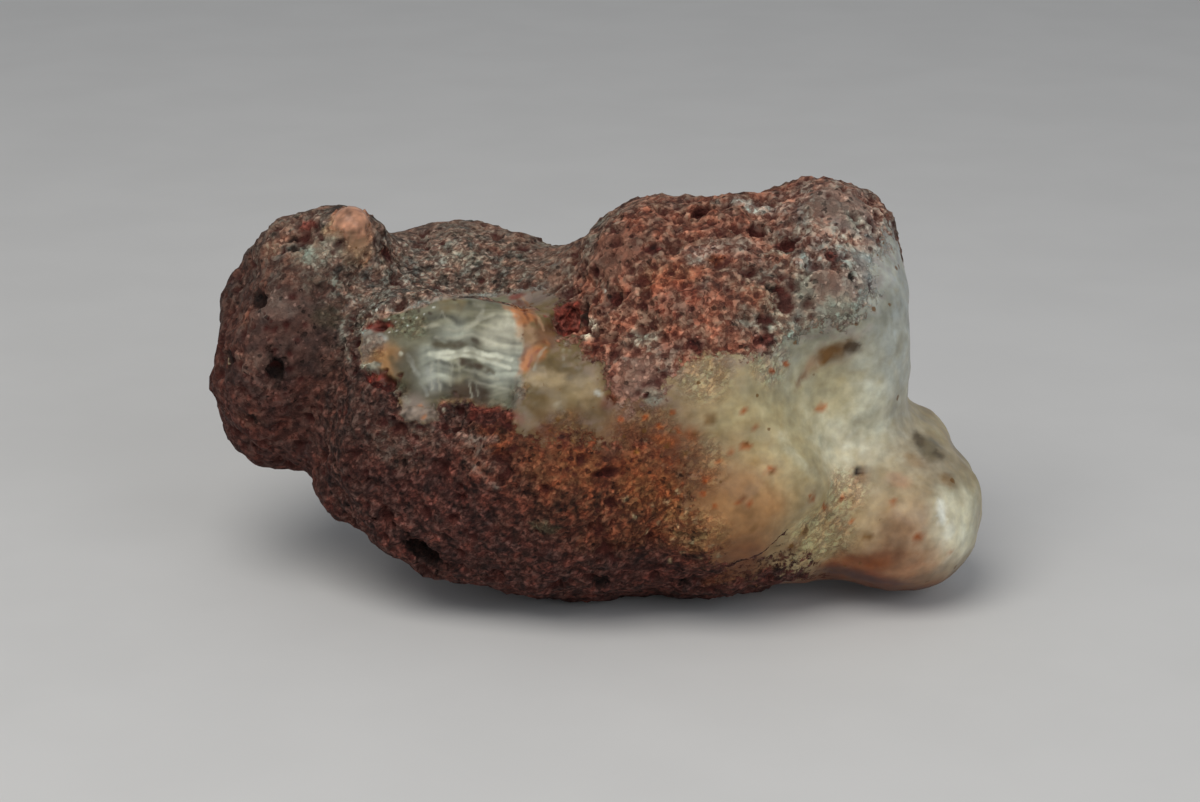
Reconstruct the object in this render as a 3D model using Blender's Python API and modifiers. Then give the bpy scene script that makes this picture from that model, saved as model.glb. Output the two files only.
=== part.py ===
"""An agate nodule: a lumpy stone of smooth chalcedony under a rough, pitted rind.

Sizes in the tables are in millimetres and angles in degrees; the mesh is made in metres.
X runs along the stone, -Y is the side with the broken window, +Z is up. The stone rests on
a small flat spot at z = 0, and the middle of its footprint is the origin.

The stone is made as a carver would: swellings are fused into one body, the body is pressed
and pulled into its hollows and ridges, the window is split off, the pits are dug, and the
underside is ground flat where it rests.
"""

import math
from typing import NamedTuple

import bmesh
import bpy
import numpy as np
from mathutils import Euler, Matrix, Vector, noise
from mathutils.bvhtree import BVHTree

MM = 0.001

LENGTH = 68.0

# How the lobes are fused and blended, and how many facets the stone is left with
LOBE_ROUNDNESS = 4
FUSE_SIZE = 0.6
BLEND_FACTOR = 0.5
BLEND_PASSES = 60
TRIANGLES = 9600

# A side is an azimuth and an elevation. Marks on it are placed across and up from SIGHT, as
# they look from SIGHT_DISTANCE away
SIGHT = (0.0, -1.0, 16.5)
SIGHT_DISTANCE = 260.0
FRONT = (0.0, 18.0)
BACK = (180.0, 10.0)
RIGHT = (90.0, 10.0)
LEFT = (270.0, 10.0)
TOP = (0.0, 75.0)
UNDER = (0.0, -70.0)
LINE_STEP = 0.5

# Finish of the stone as a whole: its rind colour, in linear light
RIND_COLOUR = (0.155, 0.095, 0.075, 1.0)
RIND_ROUGHNESS = 0.6
SHARP_ANGLE = 42.0


class Lobe(NamedTuple):
    """One swelling of the stone: where it is, its half sizes, and its turn."""

    at: tuple
    half: tuple
    turn: tuple = (0.0, 0.0, 0.0)


class Press(NamedTuple):
    """A soft move of the surface about a mark: half width, half height, and how far out."""

    side: tuple
    at: tuple
    half: tuple
    out: float
    turn: float = 0.0


class Chip(NamedTuple):
    """A flat-faced break about a mark: its outline as seen, its depth, and how its face leans."""

    side: tuple
    at: tuple
    outline: tuple
    deep: float
    lean: tuple = (0.0, 0.0)


class Pit(NamedTuple):
    """A hole with a rounded floor: half width, half height and depth, and its turn."""

    side: tuple
    at: tuple
    half: tuple
    deep: float
    turn: float = 0.0


class Patch(NamedTuple):
    """A smooth patch of chalcedony without the rind's lumps."""

    side: tuple
    at: tuple
    half: float


class Line(NamedTuple):
    """A crease or a ridge along marks: its half width and how far out it goes."""

    side: tuple
    points: tuple
    half: float
    out: float


LOBES = {
    "belly": Lobe((-3.0, -2.4, 12.8), (20.5, 15.0, 12.8), (3, 8, 0)),
    "belly_right": Lobe((9.5, -2.8, 11.4), (13.5, 14.0, 11.4), (3, 2, 0)),
    "belly_left": Lobe((-15.5, -2.0, 16.3), (9.8, 12.0, 11.8), (0, 26, 0)),
    "core": Lobe((4.0, 2.5, 18.0), (22.0, 13.5, 12.0), (0, -6, 0)),
    "rear_ridge": Lobe((-11.0, 7.5, 23.2), (12.0, 7.5, 7.0), (0, 3, 0)),
    "crest": Lobe((-12.0, -5.5, 22.0), (10.5, 6.5, 6.8), (-20, 3, 0)),
    "shoulder": Lobe((11.5, 0.5, 21.9), (13.2, 14.0, 12.1), (0, -5, 0)),
    "shoulder_left": Lobe((5.1, 0.5, 27.8), (7.0, 10.0, 6.2), (0, -10, 0)),
    "shoulder_peak": Lobe((19.4, 1.0, 26.0), (7.6, 11.5, 9.9), (0, 0, 0)),
    "right_wall": Lobe((21.9, 1.5, 22.6), (5.8, 12.0, 12.2), (0, 0, 0)),
    "left_lobe": Lobe((-26.0, 3.0, 21.0), (7.6, 11.5, 11.4), (0, 16, 0)),
    "left_lower": Lobe((-26.2, 1.0, 17.4), (7.4, 8.5, 7.2), (0, 20, 0)),
    "left_neck": Lobe((-21.5, 4.0, 23.5), (7.0, 9.0, 7.0), (0, 0, 0)),
    "left_back": Lobe((-24.5, 8.0, 18.0), (7.5, 9.0, 8.5), (0, 0, 0)),
    "knob": Lobe((-21.4, 0.5, 30.2), (3.8, 4.0, 3.6), (0, 0, 0)),
    "foot": Lobe((25.3, -4.0, 7.6), (9.0, 9.0, 7.2), (0, 4, 0)),
    "knuckle": Lobe((27.4, 0.0, 11.0), (4.8, 6.5, 5.2), (0, 0, 0)),
    "foot_root": Lobe((17.0, -2.5, 7.4), (10.0, 9.5, 6.4), (0, 3, 0)),
    "foot_link": Lobe((22.0, 0.0, 12.5), (6.5, 10.0, 6.5), (0, 20, 0)),
    "front_fill": Lobe((7.0, -3.5, 19.0), (14.0, 11.5, 9.5), (0, 0, 0)),
    "back_swell": Lobe((2.0, 6.0, 11.2), (14.0, 10.8, 10.9), (0, 0, 0)),
}

# The hollows and swells that the lobes leave out
PRESSES = {
    "left_brow": Press(FRONT, (-26.5, 15.0), (6.0, 4.5), 1.0),
    "under_left_fill": Press(FRONT, (-15.5, -12.8), (8.5, 5.5), 1.6, -30.0),
    "knob_tip": Press(FRONT, (-21.5, 15.2), (3.0, 2.6), 1.0),
    "left_upper_trim": Press(FRONT, (-31.3, 9.0), (5.0, 5.5), -1.2),
    "left_notch": Press(FRONT, (-22.4, -8.4), (3.6, 3.2), -1.0),
    "recess": Press(FRONT, (21.0, 2.4), (7.5, 5.5), -1.5),
    "top_trough": Press(TOP, (-10.0, 1.0), (11.0, 5.5), -2.0),
    "amber_swell": Press(FRONT, (13.0, -9.5), (8.0, 7.0), 0.8),
    "resting_pad": Press(UNDER, (1.0, -8.6), (9.5, 7.0), 1.0),
    "beside_resting_pad": Press(UNDER, (9.4, -2.2), (3.5, 3.0), -0.4),
    "back_hollow": Press(BACK, (8.0, 3.5), (10.0, 7.0), -2.6, 15.0),
    "back_swelling": Press(BACK, (-9.0, 7.0), (9.0, 7.5), 1.6, -20.0),
    "back_dimple": Press(BACK, (-16.0, -6.5), (6.0, 4.5), -1.4),
    "back_low_knob": Press(BACK, (3.0, -9.0), (6.0, 4.5), 1.3),
    "left_end_hollow": Press(LEFT, (-3.0, -1.0), (5.0, 4.0), -1.3),
    "right_end_hollow": Press(RIGHT, (3.5, 3.0), (6.0, 5.5), -1.5),
    "top_swelling": Press(TOP, (13.0, 5.0), (6.0, 4.5), 0.9),
}

# Creases (in) and ridges (out)
LINES = {
    "lobe_valley": Line(FRONT, ((-20.6, 9.5), (-23.0, 4.5), (-25.0, -1.0), (-25.6, -6.0)), 5.0, -1.4),
    "chalcedony_ridge": Line(FRONT, ((12.0, 1.0), (15.5, -3.8), (19.0, -7.0)), 3.4, 1.1),
    "back_groove": Line(BACK, ((-14.0, 13.0), (-8.0, 8.0), (-3.0, 1.0), (-2.0, -7.0)), 3.2, -1.2),
    "back_ridge": Line(BACK, ((14.0, 11.0), (17.0, 5.0), (18.0, -1.0)), 3.2, 0.9),
    "belly_crease": Line(FRONT, ((9.5, -15.9), (12.8, -14.9), (15.6, -13.9), (17.8, -11.8)), 2.2, -1.0),
}

# Uneven lumps all over the stone: how wide they are and how far they stand out
LUMPS = ((9.0, 0.7), (4.2, 0.46), (2.2, 0.3))

SMOOTH_PATCHES = {
    "chalcedony": Patch(FRONT, (19.0, -2.0), 12.0),
    "chalcedony_left": Patch(FRONT, (9.0, 0.5), 6.5),
    "amber": Patch(FRONT, (12.5, -9.5), 7.0),
    "foot": Patch(FRONT, (29.5, -11.0), 8.0),
    "back_chalcedony": Patch(BACK, (9.0, 0.0), 9.0),
    "resting_spot": Patch(UNDER, (1.0, -5.6), 9.0),
}
SMOOTHNESS = 0.75
SMOOTH_EDGE = 2.5

# The broken window in the front and the ledge at its left, outlined about their marks
CHIPS = {
    "window": Chip(
        FRONT,
        (-13.0, 3.4),
        ((-6.4, 10.0), (-6.6, 2.0), (-5.4, 0.0), (-4.4, -2.2), (-3.6, -5.2), (-1.6, -5.4),
         (-0.6, -3.6), (2.4, -4.6), (5.6, -4.4), (6.4, -0.6), (6.0, 3.2), (6.2, 10.0)),
        1.2,
        (-4.0, 2.0),
    ),
    "window_ledge": Chip(
        FRONT,
        (-18.6, 4.0),
        ((-2.4, 2.0), (-2.4, 0.2), (-0.6, -1.6), (2.0, -2.0), (2.4, 2.6), (-0.6, 3.4)),
        0.9,
        (0.0, -14.0),
    ),
}
CHIP_HALF_HEIGHT = 4.0
WELD = 0.00001

PITS = {
    "red_cave": Pit(FRONT, (-2.35, 7.15), (1.5, 1.9), 2.0),
    "under_pit": Pit(FRONT, (-15.2, -13.2), (2.1, 1.0), 1.9, -32.0),
    "left_hole": Pit(FRONT, (-28.1, 2.9), (0.6, 1.35), 1.6),
    "left_edge_hole": Pit(FRONT, (-32.4, 3.6), (0.6, 1.1), 1.0),
    "crust_hole": Pit(FRONT, (-12.4, -1.5), (1.1, 1.6), 1.6),
    "crust_strip": Pit(FRONT, (-9.4, -1.2), (1.6, 0.7), 1.1),
    "rim_hole": Pit(FRONT, (-18.9, 1.75), (1.1, 0.9), 1.3, -40.0),
    "crest_hole": Pit(FRONT, (-19.2, 6.5), (0.95, 0.5), 1.0),
    "shoulder_vesicle": Pit(FRONT, (16.7, 13.5), (0.9, 0.9), 0.8),
    "shoulder_vesicle_left": Pit(FRONT, (14.1, 14.7), (0.8, 0.8), 0.7),
    "rind_ring": Pit(FRONT, (13.1, 7.0), (1.0, 1.0), 0.5),
    "rind_edge_hole": Pit(FRONT, (14.9, 5.4), (0.9, 0.7), 0.7),
    "belly_slot": Pit(FRONT, (0.4, -6.4), (0.9, 0.45), 0.9),
    "belly_low_hole": Pit(FRONT, (0.4, -15.8), (0.8, 0.65), 1.0),
    "neck_hollow": Pit(FRONT, (-24.2, 9.6), (1.0, 1.2), 0.8),
    "ridge_hollow": Pit(FRONT, (-18.6, 12.9), (1.1, 0.7), 0.8, -20.0),
    "back_vug": Pit(BACK, (-7.0, 3.0), (2.1, 1.4), 2.2, 25.0),
    "back_hole": Pit(BACK, (-13.0, 9.5), (1.0, 1.0), 1.1),
    "back_hole_low": Pit(BACK, (-1.5, -8.5), (1.2, 0.8), 1.2, -15.0),
    "back_hole_left": Pit(BACK, (22.0, 3.0), (0.8, 1.3), 1.2),
    "left_end_hole": Pit(LEFT, (4.5, 6.0), (1.1, 0.8), 1.2, 30.0),
    "left_end_pore": Pit(LEFT, (-6.5, -2.0), (0.7, 0.7), 0.9),
    "right_end_pore": Pit(RIGHT, (-2.5, 12.5), (0.8, 0.6), 0.8),
    "top_hole": Pit(TOP, (9.5, 3.5), (1.1, 0.8), 1.1, 40.0),
    "top_pore": Pit(TOP, (-7.5, 7.0), (0.8, 0.7), 0.8),
    "under_hole": Pit(UNDER, (-12.0, -3.0), (1.3, 0.9), 1.3, 20.0),
}
PIT_ROUNDNESS = 2

# How far around a mark the surface is averaged to see which way it faces
PIT_SPREAD = 1.0
CHIP_SPREAD = 4.0

# Pores scattered over the rind, clear of the named marks and of the resting spot
PORE_COUNT = 38
PORE_SIZES = (0.4, 0.85)
PORE_DEPTH = 0.9
PORE_SPACING = 3.4
PORE_LOWEST = 2.5
PORE_SEED = 7

# How much is ground off the underside to make the flat spot, and the size of what grinds it
GROUND_OFF = 0.7
GROUND_SIZE = 100.0


def clear_scene():
    for obj in list(bpy.data.objects):
        bpy.data.objects.remove(obj, do_unlink=True)


def new_collection(name):
    collection = bpy.data.collections.new(name)
    bpy.context.scene.collection.children.link(collection)
    return collection


def evaluated_mesh(obj):
    bpy.context.view_layer.update()
    return bpy.data.meshes.new_from_object(obj.evaluated_get(bpy.context.evaluated_depsgraph_get()))


def lobe_mesh():
    """All the lobes as overlapping spheres in one mesh."""
    shape = bmesh.new()
    for lobe in LOBES.values():
        turn = Euler([math.radians(a) for a in lobe.turn]).to_matrix().to_4x4()
        size = Matrix.Diagonal((*lobe.half, 1.0))
        place = Matrix.Scale(MM, 4) @ Matrix.Translation(lobe.at) @ turn @ size
        bmesh.ops.create_icosphere(shape, subdivisions=LOBE_ROUNDNESS, radius=1.0, matrix=place)
    mesh = bpy.data.meshes.new("lobes")
    shape.to_mesh(mesh)
    shape.free()
    return mesh


def fused_body(collection):
    """The lobes fused into one closed skin, with the joins between them blended."""
    body = bpy.data.objects.new("agate_nodule", lobe_mesh())
    collection.objects.link(body)
    fuse = body.modifiers.new("fuse", "REMESH")
    fuse.mode = "VOXEL"
    fuse.voxel_size = FUSE_SIZE * MM
    blend = body.modifiers.new("blend", "SMOOTH")
    blend.factor = BLEND_FACTOR
    blend.iterations = BLEND_PASSES
    mesh = evaluated_mesh(body)
    body.modifiers.clear()
    body.data = mesh
    return body


def side_axes(side):
    """Directions for someone looking at a side: back to the eye, to the right, and up."""
    azimuth, elevation = (math.radians(angle) for angle in side)
    level = math.cos(elevation)
    back = Vector((math.sin(azimuth) * level, -math.cos(azimuth) * level, math.sin(elevation)))
    right = Vector((math.cos(azimuth), math.sin(azimuth), 0.0))
    return back, right, back.cross(right)


class Surface:
    """The body's vertices while it is being worked, in millimetres."""

    def __init__(self, mesh):
        self.mesh = mesh
        flat = np.empty(len(mesh.vertices) * 3)
        mesh.vertices.foreach_get("co", flat)
        self.points = flat.reshape(-1, 3) / MM
        self.rest()

    def rest(self):
        """Writes the moved vertices back and looks up the surface again."""
        self.mesh.vertices.foreach_set("co", (self.points * MM).ravel())
        self.mesh.update()
        faces = [tuple(face.vertices) for face in self.mesh.polygons]
        self.tree = BVHTree.FromPolygons([Vector(p) for p in self.points], faces)
        normals = np.empty(len(self.mesh.vertices) * 3)
        self.mesh.vertex_normals.foreach_get("vector", normals)
        self.normals = normals.reshape(-1, 3)

    def mark(self, side, at):
        """The point of the surface seen at a mark, and the way that the surface faces there."""
        back, right, up = side_axes(side)
        centre = Vector(SIGHT)
        eye = centre + back * SIGHT_DISTANCE
        aim = centre + right * at[0] + up * at[1] - eye
        point, normal, _, _ = self.tree.ray_cast(eye, aim.normalized())
        if point is None:
            raise ValueError(f"no surface at mark {at} of side {side}")
        return point, normal

    def frame(self, side, at, spread, turn=0.0):
        """A mark's point and its axes: across, up and out, level with the surface around it."""
        point, _ = self.mark(side, at)
        near = np.linalg.norm(self.points - np.array(point), axis=1) < spread
        out = Vector(self.normals[near].mean(axis=0)).normalized()
        _, right, _ = side_axes(side)
        across = (right - out * right.dot(out)).normalized()
        spin = Matrix.Rotation(math.radians(turn), 3, out)
        across = spin @ across
        return np.array(point), np.array((across, out.cross(across), out))

    def press(self, press):
        centre, axes = self.frame(press.side, press.at, min(press.half), press.turn)
        reach = (*press.half, sum(press.half) / 2.0)
        offset = (self.points - centre) @ axes.T / reach
        fade = np.clip(1.0 - (offset**2).sum(axis=1), 0.0, None) ** 2
        self.points += press.out * fade[:, None] * axes[2]

    def line(self, line):
        marks = []
        for start, end in zip(line.points, line.points[1:]):
            steps = max(2, int(math.dist(start, end) / LINE_STEP))
            for step in range(steps):
                marks.append(Vector(start).lerp(Vector(end), step / steps))
        marks.append(Vector(line.points[-1]))
        hits = [self.mark(line.side, mark) for mark in marks]
        path = np.array([point for point, _ in hits])
        out = np.array([normal for _, normal in hits]).mean(axis=0)
        distance = np.linalg.norm(self.points[:, None] - path[None], axis=2).min(axis=1)
        fade = np.clip(1.0 - (distance / line.half) ** 2, 0.0, None) ** 2
        self.points += line.out * fade[:, None] * out / np.linalg.norm(out)

    def lumps(self):
        rise = np.zeros(len(self.points))
        for width, height in LUMPS:
            shift = Vector((width, 0.0, 0.0))
            for index, point in enumerate(self.points):
                rise[index] += height * noise.noise(Vector(point / width) + shift)
        rise *= 1.0 - SMOOTHNESS * self.smooth_share()
        self.points += rise[:, None] * self.normals

    def smooth_share(self):
        """1 where a smooth patch has no lumps, 0 where the rind has them all."""
        share = np.zeros(len(self.points))
        for patch in SMOOTH_PATCHES.values():
            centre, _ = self.mark(patch.side, patch.at)
            distance = np.linalg.norm(self.points - np.array(centre), axis=1)
            share = np.maximum(share, np.clip(SMOOTH_EDGE * (1.0 - distance / patch.half), 0.0, 1.0))
        return share


def sculpted(body):
    """Presses, creases and lumps the body, and gives its surface."""
    surface = Surface(body.data)
    for press in PRESSES.values():
        surface.press(press)
    surface.rest()
    for line in LINES.values():
        surface.line(line)
    surface.rest()
    surface.lumps()
    surface.rest()
    return surface


def cutter(name, mesh, collection):
    """A tool that takes its shape out of the stone."""
    obj = bpy.data.objects.new(name, mesh)
    obj.hide_render = True
    obj.display_type = "WIRE"
    collection.objects.link(obj)
    return obj


def placed(centre, axes):
    """A matrix in metres that puts x, y, z along a mark's across, up and out."""
    turn = Matrix(axes.tolist()).transposed().to_4x4()
    return Matrix.Scale(MM, 4) @ Matrix.Translation(centre) @ turn


def chip_cutter(name, chip, surface, collection):
    """A prism whose lower end is the break."""
    centre, axes = surface.frame(chip.side, chip.at, CHIP_SPREAD)
    curve = bpy.data.curves.new(name, "CURVE")
    curve.dimensions = "2D"
    curve.fill_mode = "BOTH"
    curve.extrude = CHIP_HALF_HEIGHT
    spline = curve.splines.new("POLY")
    spline.points.add(len(chip.outline) - 1)
    for point, corner in zip(spline.points, chip.outline):
        point.co = (*corner, 0.0, 1.0)
    spline.use_cyclic_u = True
    sheet = bpy.data.objects.new(name + "_outline", curve)
    collection.objects.link(sheet)
    mesh = evaluated_mesh(sheet)
    bpy.data.objects.remove(sheet)
    lean = Euler((math.radians(chip.lean[0]), math.radians(chip.lean[1]), 0.0)).to_matrix().to_4x4()
    lift = Matrix.Translation((0.0, 0.0, CHIP_HALF_HEIGHT - chip.deep))
    mesh.transform(placed(centre, axes) @ lean @ lift)
    shape = bmesh.new()
    shape.from_mesh(mesh)
    bmesh.ops.remove_doubles(shape, verts=shape.verts, dist=WELD)
    bmesh.ops.recalc_face_normals(shape, faces=shape.faces)
    shape.to_mesh(mesh)
    shape.free()
    mesh.name = name
    return cutter(name, mesh, collection)


def pore_places(surface, taken):
    """Where the scattered pores go: seeded picks on the rind, each clear of what is taken."""
    picks = np.random.default_rng(PORE_SEED).permutation(len(surface.points))
    rind = surface.smooth_share() == 0.0
    places = []
    for index in picks:
        point = surface.points[index]
        if len(places) == PORE_COUNT:
            break
        if not rind[index] or point[2] < PORE_LOWEST:
            continue
        if min(np.linalg.norm(np.array(taken) - point, axis=1)) > PORE_SPACING:
            places.append(index)
            taken.append(point)
    return places


def pit_cutter(surface, collection):
    """All the pits and pores as rounded knobs in one mesh."""
    shape = bmesh.new()
    taken = [np.array(surface.mark(chip.side, chip.at)[0]) for chip in CHIPS.values()]
    for pit in PITS.values():
        centre, axes = surface.frame(pit.side, pit.at, PIT_SPREAD, pit.turn)
        knob = placed(centre, axes) @ Matrix.Diagonal((*pit.half, pit.deep, 1.0))
        bmesh.ops.create_icosphere(shape, subdivisions=PIT_ROUNDNESS, radius=1.0, matrix=knob)
        taken.append(centre)
    sizes = np.random.default_rng(PORE_SEED).uniform(*PORE_SIZES, PORE_COUNT)
    for index, half in zip(pore_places(surface, taken), sizes):
        knob = Matrix.Scale(MM, 4) @ Matrix.Translation(surface.points[index]) @ Matrix.Scale(half, 4)
        knob = knob @ Vector(surface.normals[index]).to_track_quat("Z", "Y").to_matrix().to_4x4()
        knob = knob @ Matrix.Diagonal((1.0, 1.0, PORE_DEPTH, 1.0))
        bmesh.ops.create_icosphere(shape, subdivisions=PIT_ROUNDNESS, radius=1.0, matrix=knob)
    mesh = bpy.data.meshes.new("pits")
    shape.to_mesh(mesh)
    shape.free()
    return cutter("pits", mesh, collection)


def cut(body, tool):
    difference = body.modifiers.new(tool.name, "BOOLEAN")
    difference.operation = "DIFFERENCE"
    difference.solver = "EXACT"
    difference.object = tool


def evaluated_in_place(body):
    """Puts what the modifiers make in place of the mesh."""
    mesh = evaluated_mesh(body)
    body.modifiers.clear()
    body.data = mesh


def sized_and_set_down(body):
    """Scales the stone to its length and puts its low side at z = 0, ready for the flat spot."""
    flat = np.empty(len(body.data.vertices) * 3)
    body.data.vertices.foreach_get("co", flat)
    points = flat.reshape(-1, 3)
    low, high = points.min(axis=0), points.max(axis=0)
    middle = (low + high) / 2.0
    points -= (middle[0], middle[1], low[2])
    points *= LENGTH * MM / (high[0] - low[0])
    points[:, 2] -= GROUND_OFF * MM
    body.data.vertices.foreach_set("co", points.ravel())
    body.data.update()


def ground_cutter(collection):
    """A block whose top is the plane that the stone rests on."""
    shape = bmesh.new()
    below = Matrix.Translation((0.0, 0.0, -GROUND_SIZE * MM / 2.0))
    bmesh.ops.create_cube(shape, size=GROUND_SIZE * MM, matrix=below)
    mesh = bpy.data.meshes.new("ground")
    shape.to_mesh(mesh)
    shape.free()
    return cutter("ground", mesh, collection)


def stone_material():
    material = bpy.data.materials.new("rind")
    material.use_nodes = True
    shader = material.node_tree.nodes["Principled BSDF"]
    shader.inputs["Base Color"].default_value = RIND_COLOUR
    shader.inputs["Roughness"].default_value = RIND_ROUGHNESS
    shader.inputs["Metallic"].default_value = 0.0
    return material


def main():
    clear_scene()
    stone = new_collection("agate_nodule")
    cutters = new_collection("cutters")
    body = fused_body(stone)
    surface = sculpted(body)
    body.modifiers.new("flat_faces", "TRIANGULATE")
    cut(body, pit_cutter(surface, cutters))
    for name, chip in CHIPS.items():
        cut(body, chip_cutter(name, chip, surface, cutters))
    evaluated_in_place(body)
    facets = body.modifiers.new("facets", "DECIMATE")
    facets.ratio = TRIANGLES / sum(len(face.vertices) - 2 for face in body.data.polygons)
    evaluated_in_place(body)
    sized_and_set_down(body)
    body.data.materials.append(stone_material())
    body.data.shade_smooth()
    body.data.set_sharp_from_angle(angle=math.radians(SHARP_ANGLE))
    cut(body, ground_cutter(cutters))


main()
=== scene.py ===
"""The looks of an agate nodule: a rough, pitted rind over waxy chalcedony, with a banded window.

One piece, the stone's finely worked skin, takes the place of the plain solid. Its relief is
dug into the mesh, its colours are painted on the mesh's points from named patches, and the
grain that is finer than the mesh comes from the materials. Marks, sizes and depths in the
tables are in millimetres.
"""

import math
from typing import NamedTuple

import bmesh
import bpy
import numpy as np
from bpy.props import FloatProperty, FloatVectorProperty, IntProperty, PointerProperty
from mathutils import Matrix, Vector, noise
from mathutils.bvhtree import BVHTree
from mathutils.kdtree import KDTree


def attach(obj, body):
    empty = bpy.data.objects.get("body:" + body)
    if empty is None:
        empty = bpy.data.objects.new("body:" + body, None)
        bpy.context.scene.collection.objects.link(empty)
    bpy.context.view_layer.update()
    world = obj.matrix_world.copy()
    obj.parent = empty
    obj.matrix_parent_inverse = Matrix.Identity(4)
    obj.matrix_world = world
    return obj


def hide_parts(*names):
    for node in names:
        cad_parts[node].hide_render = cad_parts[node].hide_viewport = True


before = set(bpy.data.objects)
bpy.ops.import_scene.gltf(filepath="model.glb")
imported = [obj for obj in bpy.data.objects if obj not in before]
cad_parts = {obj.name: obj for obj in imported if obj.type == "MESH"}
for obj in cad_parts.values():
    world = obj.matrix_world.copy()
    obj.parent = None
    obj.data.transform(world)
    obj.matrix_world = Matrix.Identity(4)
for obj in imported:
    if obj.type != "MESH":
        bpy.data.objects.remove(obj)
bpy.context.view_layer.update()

bl_info = {
    "name": "Agate nodule",
    "version": (1, 0, 0),
    "blender": (4, 5, 0),
    "location": "3D View > Sidebar > Agate",
    "description": "Dresses the packed stone as an agate nodule and lights it",
    "category": "Object",
}

MM = 0.001
NODE = "agate_nodule"
PIECE = "agate_stone"

# A side is an azimuth and an elevation in degrees. Marks on it are across and up from SIGHT,
# as they look from SIGHT_DISTANCE away; the camera looks at the front side.
SIGHT = Vector((0.345, -0.314, 16.383))
SIGHT_DISTANCE = 260.2
FRONT = (0.0, 18.0)
BACK = (180.0, 10.0)
RIGHT = (90.0, 10.0)
LEFT = (270.0, 10.0)
TOP = (0.0, 75.0)
UNDER = (0.0, -70.0)

# Millimetres: points closer than this are one, a depth that counts as far outside, how deep
# into the chalcedony the mesh is made finer, and how far the rind stands up from it
SAME_POINT = 0.001
FAR = 9.0
FINE_MARGIN = 2.4
RIND_STEP = 0.12

# The middle of the window and how far its outline counts, and the small bowls to its right
WINDOW_MIDDLE = (-14.0, 3.5)
WINDOW_REACH = (9.0, 7.0)
BOWLS_MIDDLE = (-3.0, 0.6)
BOWLS_REACH = 5.0

# The rind's open bubbles: a seed, then for a half width of 1 their depth and where the rim lies
BUBBLE_SEED = 11
BUBBLE_DEPTH = 0.8
BUBBLE_RIM = 1.15
BUBBLE_RIM_HALF = 0.3

# What every broad colour counts for at least, so that far from all marks they even out
LEAST_WEIGHT = 1e-24

# Where the stone faces the front more squarely, its mesh is finer and its open bubbles fewer
FINE_FACING = 0.25

# How far each round of easing moves a point towards the middle of its neighbours
HALFWAY = 0.5

# How far each seed moves the noise along X, Y and Z
SEED_STEPS = (17.3, 5.1, 9.7)


class Wash(NamedTuple):
    """A broad colour of the stone about a mark, fading out over its reach."""

    at: tuple
    reach: float
    colour: str
    side: tuple = FRONT


class Dab(NamedTuple):
    """A patch of colour on the front: half width and height, how much it covers, and its turn."""

    at: tuple
    half: tuple
    colour: str
    cover: float
    turn: float = 0.0


class Hole(NamedTuple):
    """A pit dug deeper than the solid has it, or a lump where deep is below 0."""

    at: tuple
    half: tuple
    deep: float
    colour: str
    turn: float = 0.0
    side: tuple = FRONT


class Streak(NamedTuple):
    """A line of colour on the front: its half width, its colour and how much it covers."""

    half: float
    colour: str
    cover: float
    points: tuple


class Grain(NamedTuple):
    """Unevenness: how strong, how wide its lumps are, a seed, its octaves, and a stretch.

    A stretch is a direction, and how many times longer the lumps are along it.
    """

    strength: float
    width: float
    seed: int
    octaves: int = 1
    stretch: tuple = None


def table(kind, rows):
    """Named rows, each read as the kind."""
    return {name: kind(*row) for name, row in rows.items()}


def colour(words, red, green, blue):
    return FloatVectorProperty(
        name=words, description=f"Colour of the {words.lower()}", default=(red, green, blue),
        subtype="COLOR", size=3, min=0.0, max=1.0,
    )


def length(words, description, millimetres):
    return FloatProperty(
        name=words, description=description, default=millimetres * MM, min=0.0,
        subtype="DISTANCE", unit="LENGTH", precision=5,
    )


class StoneColours(bpy.types.PropertyGroup):
    """The stone's pigments, in linear light."""

    brick: colour("Brick rind", 0.210, 0.098, 0.064)
    rose: colour("Rose rind", 0.245, 0.162, 0.128)
    dusk: colour("Grey-brown rind", 0.165, 0.116, 0.088)
    ash: colour("Ash rind", 0.235, 0.190, 0.150)
    bark: colour("Dark brown rind", 0.068, 0.036, 0.028)
    maroon: colour("Maroon rind", 0.076, 0.029, 0.023)
    oxblood: colour("Oxblood pit", 0.060, 0.012, 0.009)
    red: colour("Red iron stain", 0.180, 0.042, 0.030)
    # Near black: painted shade in the deepest pits, in slots and under ledges
    char: colour("Painted shade in pits", 0.008, 0.003, 0.002)
    rust: colour("Rust", 0.132, 0.042, 0.016)
    orange: colour("Orange stain", 0.42, 0.155, 0.052)
    salmon: colour("Salmon knob", 0.46, 0.235, 0.145)
    tan: colour("Tan chalcedony", 0.40, 0.24, 0.135)
    amber: colour("Amber chalcedony", 0.33, 0.175, 0.070)
    olive: colour("Olive chalcedony", 0.41, 0.34, 0.18)
    # Also the painted highlights on the foot and along its ridge
    pale: colour("Pale chalcedony and painted highlight", 0.66, 0.64, 0.47)
    straw: colour("Straw chalcedony", 0.36, 0.27, 0.15)
    honey: colour("Honey glass", 0.160, 0.112, 0.048)
    cream: colour("Cream ledge", 0.375, 0.360, 0.272)
    lilac: colour("Lilac ledge", 0.205, 0.160, 0.125)
    slate: colour("Blue-grey chalcedony", 0.270, 0.268, 0.208)
    frost: colour("Frosted edge", 0.37, 0.38, 0.335)
    # Also the painted glints on the window and beside the cave
    milk: colour("Milk-white band and painted glint", 0.60, 0.60, 0.47)
    fog: colour("Foggy glass", 0.235, 0.245, 0.195)
    glass: colour("Grey glass", 0.150, 0.142, 0.090)
    smoke: colour("Smoky glass", 0.075, 0.063, 0.035)
    umber: colour("Brown glass", 0.040, 0.022, 0.009)
    # Also the painted highlight on the foot
    white: colour("White crust and painted highlight", 0.78, 0.79, 0.70)
    sienna: colour("Brown iron stain", 0.135, 0.056, 0.007)
    ember: colour("Iron dots", 0.29, 0.066, 0.008)


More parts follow.
